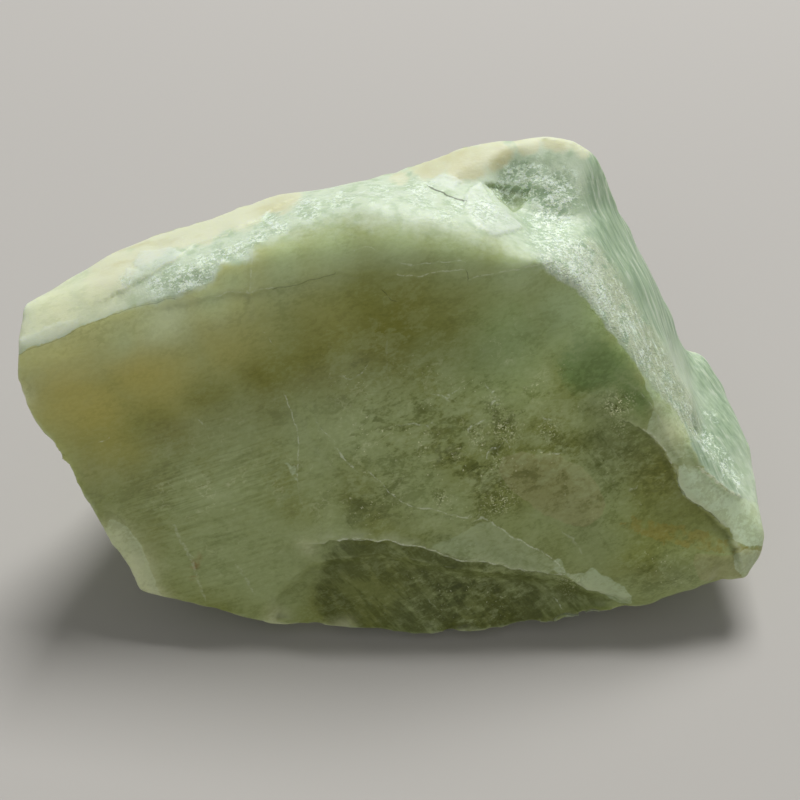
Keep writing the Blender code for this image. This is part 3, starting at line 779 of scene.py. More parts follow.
def shards(places, size, seed):
    """Heights of a blocky break, in sizes: each cell of about this size is a flat with its own tilt."""
    shift = Vector((seed, 2 * seed, -seed))
    heights = []
    for place in places:
        spot = Vector(place) / size + shift
        spot += 0.35 * noise.noise_vector(1.7 * spot)
        middle = noise.voronoi(spot)[1][0]
        heights.append((spot - middle).dot(noise.cell_vector(29.0 * middle)))
    return np.array(heights)


for seed, (size, height, levels) in enumerate(TERRACES):
    level = terraces(0.5 + 0.8 * grain(places, size, 10.0 + seed), levels)
    crushed = np.maximum(kind["sugar"], 0.5 * kind["band"]) * (1 - 0.6 * kind["flank"])
    heights += height * (level - 0.5) * crushed
for seed, (width, depth) in enumerate(GROOVES):
    heights += depth * grain(along(places, DOWN_FLANK, 14.0), width, 20.0 + seed) * kind["flank"]
for seed, (size, height) in enumerate(GRAIN):
    heights += height * grain(along(places, GROWTH, 2.0), size, 30.0 + seed)
well_hidden = smooth_step(-(smoothed(chunk, outward, CALM_DIRECTIONS) @ CHART_FACING), 0.15, 0.50)
for seed, (size, tilt) in enumerate(SHARDS):
    heights += size * tilt * shards(along(places, GROWTH, 1.5), size, 40.0 + seed) * well_hidden
print("relief goes", heights.min().round(2), "to", heights.max().round(2), "mm")

# %% [markdown]
# ## Chipped edges
#
# An edge of a brittle stone is never whole: small shells have come off it. Ridges are found by setting
# the skin against its smoothed self, and noise decides where along them a chip is missing. Chips go in
# along smoothed directions, because at an edge the directions of neighbouring points fan out. The flat
# that the chunk rests on is kept flat, and nothing may leave the solid's own box.

# %% Chipped edges
CHIP_DEPTH = 0.55         # millimetres
CHIP_SIZE = 1.9
RIDGE_LOW, RIDGE_HIGH = 0.06, 0.34   # how far above its smoothed self a ridge stands
RIDGE_ROUNDS = 20
FOOT_LINE = [(-20.5, 3.2), (-17.0, 2.4), (-13.0, 1.3), (-8.0, 0.6), (-4.0, 0.3), (0.0, 0.2), (4.0, 0.4),
             (9.5, 1.2), (13.5, 1.9), (17.5, 2.9), (22.0, 4.0), (27.0, 5.2)]
SCALLOP_DEPTH = 0.40      # shells broken out all along the front foot
SCALLOP_SIZE = 1.3
SCALLOP_REACH = 1.3       # how far up the face they go
HEAL_ROUNDS = 7           # the chips' own edges are rounded by this much averaging


def ridges(thing, places, outward):
    """Height of each point above its smoothed self, in millimetres: plus on ridges."""
    return ((places - smoothed(thing, places, RIDGE_ROUNDS)) * outward).sum(axis=1)


above = ridges(chunk, places, outward)
shells = smooth_step(grain(places, SCALLOP_SIZE, 80.0), 0.0, 0.35)
shells *= np.exp(-(from_mark(chart, FOOT_LINE) / SCALLOP_REACH) ** 2) * smooth_step(-places[:, 1], -12.0, -8.0)
inward = -smoothed(chunk, outward, 10)
inward /= np.linalg.norm(inward, axis=1)[:, None]
broken = smooth_step(grain(places, CHIP_SIZE, 60.0), -0.05, 0.5) * smooth_step(above, RIDGE_LOW, RIDGE_HIGH)
chips = CHIP_DEPTH * smoothed(chunk, broken[:, None], 6)
chips += SCALLOP_DEPTH * smoothed(chunk, shells[:, None], 6)
heights *= 1 - kind["base"]
moved = places + heights[:, None] * outward + chips * inward
box_low = (np.array(stone_low) - np.array(foot)) / MM
box_high = (np.array(stone_high) - np.array(foot)) / MM
healed = smoothed(chunk, moved, HEAL_ROUNDS)
sharp = np.maximum(smooth_step(above, 0.04, 0.20), np.exp(-(from_mark(chart, FOOT_LINE) / SCALLOP_REACH) ** 2))
moved += sharp[:, None] * (healed - moved)
write_points(chunk, np.clip(moved, box_low, box_high))
print("chips are up to", chips.max().round(2), "mm deep")

# %% [markdown]
# ## Fewer triangles where nothing happens
#
# The even net spends as much on a calm face as on frost. The Decimate modifier merges triangles where
# that changes the shape least, so the detail stays and the count comes down to what a library part may
# have. Shading is smooth, because the skin now has the edges as real shape.

# %% Fewer triangles where nothing happens
MOST_TRIANGLES = 190000


def lighten(thing):
    thing.data.calc_loop_triangles()
    count = len(thing.data.loop_triangles)
    fewer = thing.modifiers.new("fewer triangles", "DECIMATE")
    fewer.ratio = min(1.0, MOST_TRIANGLES / count)
    fewer.use_collapse_triangulate = True
    bpy.context.view_layer.update()
    thing.data = worked_in(thing)
    thing.modifiers.clear()
    thing.data.shade_smooth()
    return count


before = lighten(chunk)
places, _ = read_points(chunk)
write_points(chunk, np.clip(places, box_low, box_high))
print("triangles:", before, "->", len(chunk.data.polygons))

# %% [markdown]
# ## Painting by distance
#
# Colour needs to know where it is. Each skin point gets a few plain numbers, which the finish reads as
# attributes. Most are soft masks. For a crisp edge the number is a distance, because a distance changes
# evenly from point to point. The finish can then cut it off as sharply as it likes, much finer than
# the net. A hairline's distance is counted in its own half widths.

# %% Painting by distance
ZONES = {   # name: [(across, up, radius, strength), ...] on the chart, in millimetres
    "golden": [(-24.5, 20.5, 4.4, 0.9), (-19.0, 22.6, 4.2, 0.9), (-13.0, 24.6, 3.6, 0.6),
               (-23.0, 16.8, 3.0, 0.5), (-6.0, 25.5, 3.4, 0.3)],
    "olive": [(0.5, 27.0, 2.4, 1.0), (-18.0, 18.0, 1.9, 0.7), (-14.6, 20.0, 2.0, 0.9), (-10.8, 21.6, 2.4, 1.0),
              (-6.5, 23.4, 3.0, 0.8), (-1.5, 25.2, 3.2, 1.0), (3.5, 26.4, 3.0, 0.8),
              (19.5, 14.8, 2.6, 0.6), (-19.2, 13.0, 1.6, 0.6), (-19.4, 9.4, 1.6, 0.5)],
    "leafy": [(14.5, 26.0, 2.0, 0.9), (17.0, 23.2, 2.0, 0.9), (19.4, 20.6, 1.7, 0.9),
              (21.4, 18.6, 1.4, 0.9), (22.9, 16.8, 1.2, 0.8), (12.5, 26.6, 3.2, 0.9), (16.0, 22.5, 2.6, 0.5), (8.0, 25.0, 4.0, 0.6), (18.8, 18.6, 2.0, 0.5)],
    "mottled": [(0.0, 18.0, 5.0, 0.9), (6.0, 16.0, 5.5, 1.0), (11.5, 17.0, 5.0, 1.0), (4.0, 12.0, 4.0, 0.8),
                (-2.0, 12.8, 3.0, 0.9), (16.5, 14.0, 4.0, 0.7), (5.0, 4.0, 5.0, 0.8), (21.0, 6.5, 3.0, 0.7)],
    "cloudy": [(-1.5, 18.5, 5.0, 0.8), (4.0, 19.5, 4.5, 0.9), (-9.0, 13.5, 5.0, 0.7), (-13.5, 16.4, 3.0, 0.6),
               (-15.0, 12.0, 5.0, 0.8), (1.0, 15.4, 3.0, 0.7), (8.0, 22.5, 3.6, 0.7), (-11.0, 9.0, 3.6, 0.5)],
    # deep: a deeper green on the face, and painted shade at the foot and under the brow
    "deep": [(15.6, 15.4, 2.4, 0.8), (2.5, 4.2, 4.0, 0.5), (-5.8, 5.4, 2.8, 0.6), (8.5, 3.6, 4.0, 0.5), (17.0, 16.0, 2.6, 0.5),
             (15.5, 8.6, 2.2, 0.35), (21.0, 6.4, 2.4, 0.4), (-3.0, 10.8, 1.6, 0.5), (15.4, 19.0, 1.7, 0.45)],
    # pale: pale veils, and a painted glow along the thin lower left corner, the foot's edge and below the rim
    "pale": [(-21.4, 6.2, 2.2, 0.7), (-22.6, 8.8, 1.8, 0.5), (-20.4, 4.4, 1.8, 0.6), (-10.3, 1.8, 1.0, 0.5),
             (-5.2, 1.6, 0.8, 0.5), (-28.8, 20.5, 1.2, 0.5), (-7.4, 8.6, 0.7, 0.3),
             (-17.2, 25.9, 1.6, 0.35), (19.8, 19.4, 0.8, 0.2), (21.0, 17.9, 1.1, 0.5)],
    "stained": [(5.0, 39.4, 2.2, 0.8), (8.7, 39.3, 1.8, 1.0), (2.5, 38.6, 1.6, 0.6), (-9.5, 34.8, 1.4, 0.7),
                (11.5, 40.6, 1.2, 0.5)],
    "ice": [(12.0, 35.5, 2.6, 1.0), (10.5, 37.5, 1.8, 0.9), (11.5, 32.2, 1.8, 0.8), (13.0, 31.0, 1.4, 0.6)],
    "lined": [(-17.0, 12.0, 4.5, 1.0), (-12.0, 14.0, 4.0, 1.0), (-14.0, 8.0, 4.0, 0.7)],
    # lip: painted light on the band below the rim, which faces up towards the light
    "lip": [(-17.2, 26.0, 2.2, 0.9), (-20.2, 25.0, 1.7, 0.6), (-13.4, 27.0, 1.9, 0.8),
            (-8.5, 30.2, 1.8, 0.8), (-5.0, 31.2, 2.2, 0.8), (0.0, 31.4, 2.4, 0.8), (4.5, 31.2, 2.4, 0.8),
            (8.8, 30.2, 2.4, 0.95), (-12.2, 28.8, 1.3, 0.7), (12.0, 27.4, 2.6, 0.75)],
    "rust": [(-16.2, 6.6, 0.16, 0.9), (-16.0, 7.3, 0.14, 0.7), (-16.3, 5.9, 0.12, 0.6)],
    # glinting: clusters of painted glints
    "glinting": [(7.5, 19.4, 0.5, 0.7), (8.2, 17.5, 0.9, 0.8), (5.9, 16.9, 0.6, 0.8), (7.2, 15.4, 0.5, 0.6),
                 (11.3, 17.3, 0.9, 0.7), (3.0, 12.3, 0.6, 0.7), (7.7, 12.2, 1.0, 0.8), (16.5, 19.4, 0.9, 1.0),
                 (-20.8, 28.6, 0.8, 0.8), (-22.6, 26.9, 0.7, 0.5), (17.2, 17.4, 0.7, 0.5), (13.6, 4.6, 0.8, 0.5)],
    "whiter": [(10.8, 31.2, 2.4, 1.0), (13.4, 29.6, 2.2, 1.0), (15.2, 27.4, 1.8, 0.7), (17.4, 24.9, 1.4, 0.3)],
    "misty": [(23.2, 22.6, 1.5, 0.95), (24.6, 21.4, 1.5, 0.8), (25.8, 19.6, 1.4, 0.5), (22.6, 24.0, 1.2, 0.6)],
}
# The rim glow is painted light: a painted glow on the face below the rim, left of the middle.
RIM_GLOW = 3.2            # left of the middle the face is paler this far below the rim, in millimetres
RIM_SOFTNESS = [(-22.0, 0.06), (-19.0, 0.35), (-12.0, 0.30), (-6.0, 1.4), (8.0, 1.4), (11.5, 0.15)]
# The lip's share on the hidden side is painted light too.
HIDDEN_SHARE = {"mottled": 0.9, "cloudy": 0.7, "lip": 0.25}   # what the hidden side gets all over
LINE_FADE = (2.2, 5.0)    # a hairline's mask fades between these distances, in half widths


def paint(thing, name, values):
    layer = thing.data.attributes.new(name, "FLOAT", "POINT")
    layer.data.foreach_set("value", values.astype(np.float32))


def paint_hairlines(thing, name, lines, points, seen):
    """The signed distance from the nearest hairline, in its half widths, and a mask beside it."""
    nearest = np.full(len(points), np.inf)
    signed = np.zeros(len(points))
    mask = np.zeros(len(points))
    for half_width, strength, mark in lines:
        away = from_mark(points, mark) / half_width
        closer = np.abs(away) < nearest
        signed = np.where(closer, away, signed)
        nearest = np.minimum(nearest, np.abs(away))
        mask = np.maximum(mask, strength * smooth_step(-np.abs(away), -LINE_FADE[1], -LINE_FADE[0]))
    paint(thing, name, np.clip(signed, -20, 20))
    paint(thing, name + "_mask", mask * seen)


def paint_plates(thing, points, seen):
    """For each kind of plate, the depth inside the nearest one and that plate's strength."""
    for kind_name in KINDS:
        depth = np.full(len(points), -9.0)
        strength = np.zeros(len(points))
        for its_kind, its_strength, _, outline in PLATES.values():
            if its_kind == kind_name:
                here = depth_in(points, outline)
                strength = np.where(here > depth, its_strength, strength)
                depth = np.maximum(depth, here)
        paint(thing, kind_name + "_depth", depth)
        paint(thing, kind_name + "_share", strength * seen)


places, outward = read_points(chunk)
chart = ragged(places)
kind = kinds_of_skin(chunk, places, outward, chart)
seen = kind["seen"]
drifting = chart + np.column_stack([grain(places, 4.0, 70.0), grain(places, 4.0, 71.0)]) * 1.0
hidden = 1 - seen
for name, spots in ZONES.items():
    paint(chunk, name, patch_mask(drifting, spots) * seen + HIDDEN_SHARE.get(name, 0.0) * hidden)
paint(chunk, "dusty", hidden)
for name in ("seen", "top", "flank", "band", "sugar", "cream", "wax"):
    paint(chunk, name, kind[name])
paint_hairlines(chunk, "bright", BRIGHT_LINES, chart, smooth_step(outward @ CHART_FACING, 0.1, 0.3))
paint_hairlines(chunk, "dark", DARK_LINES, chart, smooth_step(outward @ CHART_FACING, 0.1, 0.3))
paint_plates(chunk, chart, seen)
from_rim = from_mark(chart, RIM)
softness_at, softness = np.array(RIM_SOFTNESS).T     # across, and half the width of the fade there
paint(chunk, "rim", from_rim)
paint(chunk, "rim_softness", np.interp(chart[:, 0], softness_at, softness))
# A painted glow on the face below the rim, fading out right of the middle.
glow = np.exp(-np.maximum(from_rim, 0) / RIM_GLOW) * (1 - 0.85 * smooth_step(chart[:, 0], -15.0, -5.0))
paint(chunk, "rim_glow", glow * seen)
# Ridge and hollow masks: the finish lays a painted glow on ridges and painted shade in hollows.
above = ridges(chunk, places, outward)
paint(chunk, "ridge", smooth_step(above, 0.03, 0.22))
# The hollow mask carries painted shade in concave places.
paint(chunk, "hollow", smooth_step(-above, 0.02, 0.18))
print("attributes:", len(chunk.data.attributes))

# %% [markdown]
# ## The finish: where, and how cloudy
#
# The nodes start from the surface's own coordinates, turned into millimetres, so that every size below
# can be read as a real one. A second set is squeezed along the way the crystal grew. Noise on it comes
# out as streaks along that direction, which is how clouds lie in beryl. Light sinks a little way into
# the stone and comes out again beside: that is the subsurface setting. Beryl would mirror more than
# the specular level says, but a broken face is too dull for that.

# %% The finish: where, and how cloudy
beryl = Finish("cloudy beryl")
GLOSS = {"IOR": 1.58, "Subsurface Weight": 0.4, "Subsurface Radius": (1.0, 1.05, 0.6),
         "Subsurface Scale": 1.5 * MM, "Specular IOR Level": 0.3}
for name, value in GLOSS.items():
    beryl.feed(beryl.shader.inputs[name], value)

where = beryl.vector("MULTIPLY", beryl.node("ShaderNodeTexCoord", out=3), (1 / MM, 1 / MM, 1 / MM))


FINEST = 0.08             # nothing finer than this is worked out, in millimetres


def squeezed(direction, stretch):
    """Coordinates squeezed along a direction: p - d (p . d) (1 - 1 / stretch)."""
    unit = tuple(Vector(direction).normalized())
    length = beryl.node("ShaderNodeVectorMath", {"operation": "DOT_PRODUCT"}, {0: where, 1: unit}, out=1)
    part = beryl.node("ShaderNodeVectorMath", {"operation": "SCALE"},
                      {0: unit, "Scale": length * (1 - 1 / stretch)})
    return beryl.vector("SUBTRACT", where, part)


def octaves(size, wanted):
    """Every octave of noise is half the size of the last, so few of them are coarse enough to see."""
    return min(wanted, log2(size / FINEST))


def fuzz(size, coordinates=where, detail=3.0, rough=0.55):
    """Cloudy noise between 0 and 1 with lumps of about this size in millimetres."""
    return beryl.node("ShaderNodeTexNoise", {"noise_dimensions": "3D"},
                      {"Vector": coordinates, "Scale": 1 / size, "Detail": octaves(size, detail),
                       "Roughness": rough})


def cells(size, coordinates):
    """Cells of about this size, each with one random value between 0 and 1."""
    random_colour = beryl.node("ShaderNodeTexVoronoi", {"feature": "F1"},
                               {"Vector": coordinates, "Scale": 1 / size}, out=1)
    return beryl.node("ShaderNodeSeparateXYZ", None, {0: random_colour}, out=0)


def painted(name):
    return beryl.node("ShaderNodeAttribute", {"attribute_name": name, "attribute_type": "GEOMETRY"}, out=2)


grown = squeezed(GROWTH, 1.7)
streaked = squeezed(STRIAE, 22.0)
feathered = squeezed(FEATHER, 4.0)
grooved = squeezed(DOWN_FLANK, 12.0)
print("nodes so far:", len(beryl.tree.nodes))

# %% [markdown]
# ## The finish: plates inside
#
# Cloudy beryl is full of overlapping sheets with crisp, irregular edges, each a little lighter or
# darker than the next. Cell noise gives every cell one random value. Bending the coordinates by a
# cloudy noise first turns the cells' straight sides into broken ones. Two sizes of cells and a fine
# cloudiness add up to one number, around a half, that says how light the inside is.

# %% The finish: plates inside
def bent(coordinates, size, by):
    """Coordinates pushed about by noise of this size, by this many millimetres."""
    push = beryl.node("ShaderNodeTexNoise", {"noise_dimensions": "3D"},
                      {"Vector": coordinates, "Scale": 1 / size, "Detail": octaves(size, 3.0),
                       "Roughness": 0.65}, out=1)
    shift = beryl.vector("SUBTRACT", push, (0.5, 0.5, 0.5))
    return beryl.vector("ADD", coordinates, beryl.vector("MULTIPLY", shift, (2 * by, 2 * by, 2 * by)))


broken_up = bent(grown, 1.6, 1.1)
wide_plates = cells(3.0, broken_up)
small_plates = cells(1.2, broken_up)
clouds = fuzz(1.1, grown, detail=9.0, rough=0.78)
fine_clouds = fuzz(0.3, grown, detail=5.0, rough=0.75)
lightness = clouds * 0.50 + wide_plates * 0.13 + small_plates * 0.13 + fine_clouds * 0.34 - 0.05
streaks = fuzz(0.24, streaked, detail=5.0, rough=0.65)
feathers = fuzz(0.9, feathered, detail=3.0, rough=0.7)
wisps = beryl.ramp(abs(fuzz(2.0, broken_up, detail=3.0, rough=0.6) - 0.5), 0.020, 0.0)
patches = fuzz(1.8, detail=3.0)
lumps = fuzz(1.2, detail=4.0)
fray_noise = fuzz(0.45, detail=4.0, rough=0.65)
wisps = wisps * beryl.ramp(patches, 0.45, 0.62)
flake_value = cells(0.60, broken_up)
# Painted glints: tiny bright flecks in patches.
painted_glints = beryl.ramp(fuzz(0.20, detail=3.0), 0.66, 0.74) * beryl.ramp(patches, 0.48, 0.60)
light_flakes = beryl.ramp(flake_value, 0.76, 0.80) * beryl.ramp(clouds, 0.46, 0.58)
dark_gaps = beryl.ramp(flake_value, 0.24, 0.20) * beryl.ramp(clouds, 0.54, 0.44)
print("nodes so far:", len(beryl.tree.nodes))

# %% [markdown]
# ## The finish: the green inside
#
# Looked into, the stone is a dull green that drifts to olive and golden towards the left and to a clean
# leaf green at the right. Veils of tiny bubbles make it paler, and clearer places look darker because
# one sees further in. Some tints are painted light and shade: a painted glow and painted light on the
# lip below the rim, a painted glow along the thin lower left corner, painted shade at the foot and under
# the brow, and painted glints. Each is a tint laid over the last, by a zone, a plate or the lightness
# above.

# %% The finish: the green inside
DULL = colour(147, 155, 80)
GREYER = colour(170, 183, 124)
OLIVE = colour(132, 132, 32)
GOLDEN = colour(200, 188, 90)
LEAFY = colour(172, 202, 138)
LEAF = colour(120, 152, 86)
TAUPE = colour(172, 170, 118)
DEEP_GREEN_AND_SHADE = colour(84, 92, 20)
VEIL = colour(186, 198, 144)
PALE_VEIL_AND_PAINTED_LIGHT = colour(244, 247, 204)
MINT_PALE = colour(220, 238, 206)
STAIN = colour(164, 152, 70)
RUST = colour(150, 100, 30)
PAINTED_LIP_LIGHT = colour(198, 216, 166)
PAINTED_RIM_GLOW = colour(204, 206, 142)
DARKER = (0.40, 0.43, 0.15, 1.0)     # what a clear place multiplies the green by


def plate(name, fray=0.30, soft=0.05):
    """Where a kind of plate is, with a crisp edge that is frayed by noise, in millimetres."""
    edge = painted(name + "_depth") + (fray_noise - 0.5) * fray
    return beryl.ramp(edge, -soft, soft) * painted(name + "_share")


inside = beryl.tint(beryl.ramp(fuzz(9.0, detail=2.0), 0.35, 0.65), DULL, GREYER)
inside = beryl.tint(painted("cloudy") * beryl.ramp(clouds, 0.38, 0.60), inside, GREYER)
inside = beryl.tint(painted("golden"), inside, GOLDEN)
inside = beryl.tint(painted("leafy") * 0.8, inside, LEAFY)
inside = beryl.tint(painted("olive") * 0.8, inside, OLIVE)
inside = beryl.tint(plate("leaf", 1.4, 0.7), inside, LEAF)
# Painted shade: the deep zone darkens the foot and under the brow, besides a deeper green elsewhere.
inside = beryl.tint(painted("deep") * 0.7, inside, DEEP_GREEN_AND_SHADE)
inside = beryl.tint(plate("dark", 1.4, 0.30) * beryl.ramp(fine_clouds, 0.62, 0.44), inside, DEEP_GREEN_AND_SHADE)
# The shade plate is painted shade under the brow, streaked by feathers.
inside = beryl.tint(plate("shade", 1.4, 0.5) * beryl.ramp(feathers, 0.62, 0.45, 0.45, 1.0), inside, DEEP_GREEN_AND_SHADE)
# Painted glow on the face below the rim, left of the middle.
inside = beryl.tint(painted("rim_glow"), inside, PAINTED_RIM_GLOW)
# Painted light on the lip below the rim, where the face turns up towards the light.
inside = beryl.tint(painted("lip") * 0.8, inside, PAINTED_LIP_LIGHT)
inside = beryl.tint(plate("taupe"), inside, TAUPE)
inside = beryl.tint(plate("stain", 1.2) * beryl.ramp(lumps, 0.38, 0.55), inside, STAIN)
pale_plate = plate("pale")
inside = beryl.tint(pale_plate * beryl.ramp(lightness, 0.40, 0.56, 0.75, 1.0), inside, MINT_PALE)
# Pale veils, and a painted glow along the thin lower left corner, the foot's edge and below the rim.
inside = beryl.tint(painted("pale"), inside, PALE_VEIL_AND_PAINTED_LIGHT)
inside = beryl.tint(painted("rust"), inside, RUST)
blotchy = (0.35 + painted("mottled") * 0.65) * (1 - painted("golden") * 0.7) * (1 - painted("lip") * 0.6)
blotchy = blotchy * (1 - pale_plate * 0.7)
inside = beryl.tint(beryl.ramp(lightness, 0.50, 0.36) * blotchy * 0.65, inside, DARKER, "MULTIPLY")
inside = beryl.tint(beryl.ramp(lightness, 0.50, 0.66) * blotchy * 0.60, inside, VEIL)
inside = beryl.tint(beryl.ramp(streaks, 0.50, 0.36) * painted("lined") * 0.30, inside, DARKER, "MULTIPLY")
inside = beryl.tint(beryl.ramp(streaks, 0.50, 0.66) * painted("lined") * 0.35, inside, VEIL)
inside = beryl.tint(beryl.ramp(feathers, 0.50, 0.36) * painted("deep") * 0.7, inside, DARKER, "MULTIPLY")
inside = beryl.tint(wisps * painted("cloudy") * 0.35, inside, PALE_VEIL_AND_PAINTED_LIGHT)
inside = beryl.tint(light_flakes * painted("mottled") * 0.35, inside, VEIL)
inside = beryl.tint(dark_gaps * painted("mottled") * 0.35, inside, DARKER, "MULTIPLY")
# Painted glints in the mottled and cloudy places.
inside = beryl.tint(painted_glints * (painted("mottled") * 0.7 + painted("cloudy") * 0.3), inside, PALE_VEIL_AND_PAINTED_LIGHT)
# Painted glints in clusters, with dark gaps between them.
inside = beryl.tint(painted("glinting") * beryl.ramp(fuzz(0.30, detail=4.0), 0.48, 0.36) * 0.8, inside, DEEP_GREEN_AND_SHADE)
inside = beryl.tint(painted("glinting") * beryl.ramp(fuzz(0.15, detail=3.0), 0.57, 0.64), inside, PALE_VEIL_AND_PAINTED_LIGHT)
inside = beryl.tint(beryl.ramp(fine_clouds, 0.60, 0.40) * 0.10, inside, DARKER, "MULTIPLY")
print("nodes so far:", len(beryl.tree.nodes))

# %% [markdown]
# ## The finish: flecks and hairlines
#
# The hidden side was bruised and weathered. Pale dust of crushed beryl lies on it in patches, with
# some old tan skin. Thin broken edges let light through, so the ridges get a painted glow and are paler
# than the faces, and the bright hairlines are partly painted highlights. The hollows get painted shade
# and the dark hairlines are partly painted shade.

# %% The finish: flecks and hairlines
PAINTED_EDGE_GLOW = colour(206, 216, 176)
FLECK_AND_HIGHLIGHT = colour(226, 234, 206)
DUST = colour(166, 184, 146)
OLD_SKIN = colour(184, 176, 130)
CRACK_AND_CREASE_SHADE = colour(56, 62, 30)

# Bright hairlines: painted highlights on thin edges, and healed cracks.
highlight_and_crack_line = beryl.ramp(abs(painted("bright") + (fine_clouds - 0.5) * 3.6), 1.3, 0.5) * painted("bright_mask")
highlight_and_crack_line = highlight_and_crack_line * beryl.ramp(fray_noise, 0.42, 0.56, 0.15, 1.0)
# Dark hairlines: open cracks, and painted shade in creases.
crack_and_crease_shade_line = beryl.ramp(abs(painted("dark") + (fine_clouds - 0.5) * 1.2), 1.0, 0.4) * painted("dark_mask")

# Painted glow on ridges, where thin edges let light through.
surface = beryl.tint(painted("ridge") * beryl.ramp(lumps, 0.35, 0.6, 0.35, 0.8), inside, PAINTED_EDGE_GLOW)
# Painted shade in hollows.
surface = beryl.tint(painted("hollow") * 0.30, surface, DEEP_GREEN_AND_SHADE)
dusty = painted("dusty") * beryl.ramp(fuzz(4.0, grown, detail=4.0, rough=0.7), 0.44, 0.58)
surface = beryl.tint(dusty * 0.65, surface, DUST)
surface = beryl.tint(dusty * beryl.ramp(fine_clouds, 0.52, 0.62) * 0.4, surface, FLECK_AND_HIGHLIGHT)
surface = beryl.tint(painted("dusty") * beryl.ramp(fuzz(7.0, detail=2.0), 0.52, 0.66) * 0.5, surface, OLD_SKIN)
print("nodes so far:", len(beryl.tree.nodes))

# %% [markdown]
# ## The finish: the frosted top
#
# Above the rim the stone is pale. Most of it is a smooth mint green. The left end is waxy and more
# yellow, the crest has an old cream-coloured skin with tan stains, loose flakes are nearly white, and
# the crushed places and the crushed band are full of white grains and painted glints with dark gaps.
# The recess is darkened by painted shade, the ridges get painted glints and the hollows painted shade.
# The flank is a cool green with streaks.

# %% The finish: the frosted top
MINT = colour(212, 226, 200)
MINT_DARK = colour(190, 208, 176)
WAXY = colour(232, 237, 199)
WAXY_DARK = colour(210, 217, 176)
SUGAR_DARK = colour(184, 206, 174)
ICE_DARK = colour(158, 186, 152)
WHITE_GRAIN_AND_GLINT = colour(238, 253, 234)
RECESS_GREEN_AND_SHADE = colour(138, 156, 96)
WHITE_FLAKE = colour(226, 236, 222)
CREAM_SKIN = colour(226, 229, 198)
CREAM_STAIN = colour(206, 202, 154)
BAND = colour(190, 202, 168)
BAND_WHITE = colour(218, 228, 208)
FLANK = colour(172, 194, 162)
FLANK_DARK = colour(150, 174, 142)
FLANK_LIGHT = colour(208, 220, 198)

soft = painted("rim_softness")
ragged_noise = fuzz(0.8, detail=4.0, rough=0.65)
frayed = painted("rim") + (ragged_noise - 0.5) * (soft + 0.25) * 1.4
top = beryl.ramp(frayed, soft * 1.3, soft * -0.7) * painted("seen")
ice_place = bent(squeezed(GROWTH, 1.4), 0.30, 0.28)
ice = cells(0.20, ice_place) * 0.45 + fuzz(0.15, ice_place, detail=5.0, rough=0.8) * 0.55
crumbs = fuzz(0.42, squeezed(DOWN_FLANK, 1.8), detail=8.0, rough=0.82)
sugar = beryl.ramp(painted("sugar") + (ragged_noise - 0.5) * 1.7, 0.15, 0.75)
flank_streak = fuzz(0.40, grooved, detail=5.0, rough=0.65)

frost = beryl.tint(beryl.ramp(lumps, 0.55, 0.35), MINT, MINT_DARK)
waxy = beryl.tint(beryl.ramp(clouds, 0.54, 0.40) * 0.5, WAXY, WAXY_DARK)
frost = beryl.tint(painted("wax"), frost, waxy)
side = beryl.tint(beryl.ramp(flank_streak, 0.52, 0.38), FLANK, FLANK_DARK)
side = beryl.tint(beryl.ramp(flank_streak, 0.54, 0.66) * 0.7, side, FLANK_LIGHT)
frost = beryl.tint(painted("flank"), frost, side)
band = painted("band") * beryl.ramp(lumps, 0.30, 0.50)
frost = beryl.tint(band, frost, beryl.tint(painted("whiter"), BAND, BAND_WHITE))
# Painted glints and white grains on the crushed band.
frost = beryl.tint(painted("band") * beryl.ramp(flank_streak, 0.56, 0.66) * 0.40, frost, WHITE_GRAIN_AND_GLINT)
frost = beryl.tint(painted("band") * beryl.ramp(crumbs, 0.48, 0.36) * 0.45, frost, FLANK_DARK)
frost = beryl.tint(painted("band") * beryl.ramp(crumbs, 0.54, 0.66) * 0.70, frost, WHITE_GRAIN_AND_GLINT)
frost = beryl.tint(painted("misty") * 0.85, frost, MINT)
cream_edge = beryl.ramp(painted("cream") + (lumps - 0.5) * 0.5, 0.25, 0.55)
cream = beryl.tint(beryl.ramp(fuzz(2.4, grown, detail=3.0), 0.52, 0.70) * 0.6, CREAM_SKIN, CREAM_STAIN)
cream = beryl.tint(painted("stained") * beryl.ramp(lumps, 0.3, 0.6, 0.5, 1.0), cream, CREAM_STAIN)
frost = beryl.tint(cream_edge * 0.9, frost, cream)
frost = beryl.tint(plate("white", 0.7, 0.10) * beryl.ramp(ice, 0.36, 0.54, 0.55, 1.0), frost, WHITE_FLAKE)
# The recess: green broken stone, darkened with painted shade.
frost = beryl.tint(plate("hole", 0.6, 0.15), frost, RECESS_GREEN_AND_SHADE)
frost = beryl.tint(sugar * beryl.ramp(ice, 0.50, 0.36) * 0.55, frost, SUGAR_DARK)
frost = beryl.tint(painted("ice") * beryl.ramp(ice, 0.50, 0.36) * 0.6, frost, ICE_DARK)
# White grains and painted glints in the sugar.
frost = beryl.tint(sugar * beryl.ramp(ice, 0.50, 0.60) * 0.95, frost, WHITE_GRAIN_AND_GLINT)
# Painted glints on the ridges of the top.
frost = beryl.tint(painted("ridge") * 0.5, frost, WHITE_GRAIN_AND_GLINT)
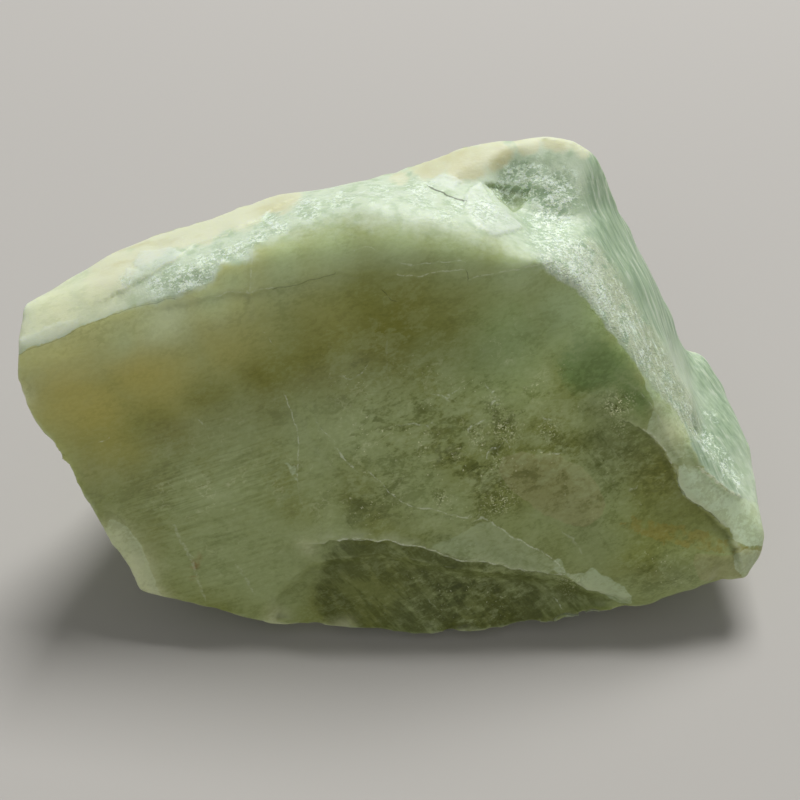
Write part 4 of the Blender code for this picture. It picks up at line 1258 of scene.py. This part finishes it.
# Painted shade in the hollows of the top.
frost = beryl.tint(painted("hollow") * 0.15, frost, SUGAR_DARK)
surface = beryl.tint(top, surface, frost)
# Painted highlights on thin edges, and healed cracks.
surface = beryl.tint(highlight_and_crack_line, surface, FLECK_AND_HIGHLIGHT)
# Open cracks, and painted shade in creases.
surface = beryl.tint(crack_and_crease_shade_line, surface, CRACK_AND_CREASE_SHADE)
print("nodes so far:", len(beryl.tree.nodes))

# %% [markdown]
# ## The finish: gloss and fine relief
#
# The green faces have a soft, waxy gloss, sugar is dull with glints, and the rest is in between. The
# finest relief is left to the Bump node, because it is too small for the net: grains in the sugar,
# streaks on the flank and a faint orange-peel on the faces.

# %% The finish: gloss and fine relief
FACE_ROUGH, TOP_ROUGH, SUGAR_ROUGH = 0.42, 0.50, 0.38
FACE_PEEL = 0.010         # height of the finest relief on the faces, in millimetres
SUGAR_GRAINS = 0.07       # and in the sugar
BAND_CRUMBS = 0.10        # and on the crushed band along the flank
TOP_PEEL = 0.020          # and on the rest of the top
STREAK_RELIEF = 0.04      # and of the streaks on the flank

rough = FACE_ROUGH + (clouds - 0.5) * 0.25
rough = rough + top * (TOP_ROUGH - FACE_ROUGH) + top * sugar * (SUGAR_ROUGH - TOP_ROUGH)
relief = fine_clouds * (FACE_PEEL + painted("top") * (TOP_PEEL - FACE_PEEL))
grains = fuzz(0.18, detail=2.0, rough=0.8)
relief = relief + grains * (painted("sugar") * SUGAR_GRAINS + painted("band") * BAND_CRUMBS)
relief = relief + flank_streak * painted("flank") * STREAK_RELIEF
bump = beryl.node("ShaderNodeBump", None, {"Strength": 1.0, "Distance": MM, "Height": relief})
beryl.feed(beryl.shader.inputs["Base Color"], surface)
beryl.feed(beryl.shader.inputs["Roughness"], rough)
beryl.feed(beryl.shader.inputs["Normal"], bump)
chunk.data.materials.append(beryl.material)
print("nodes in the finish:", len(beryl.tree.nodes))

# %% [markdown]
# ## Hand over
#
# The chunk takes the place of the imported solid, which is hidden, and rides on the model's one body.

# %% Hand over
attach(chunk, "root")
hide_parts("aquamarine")
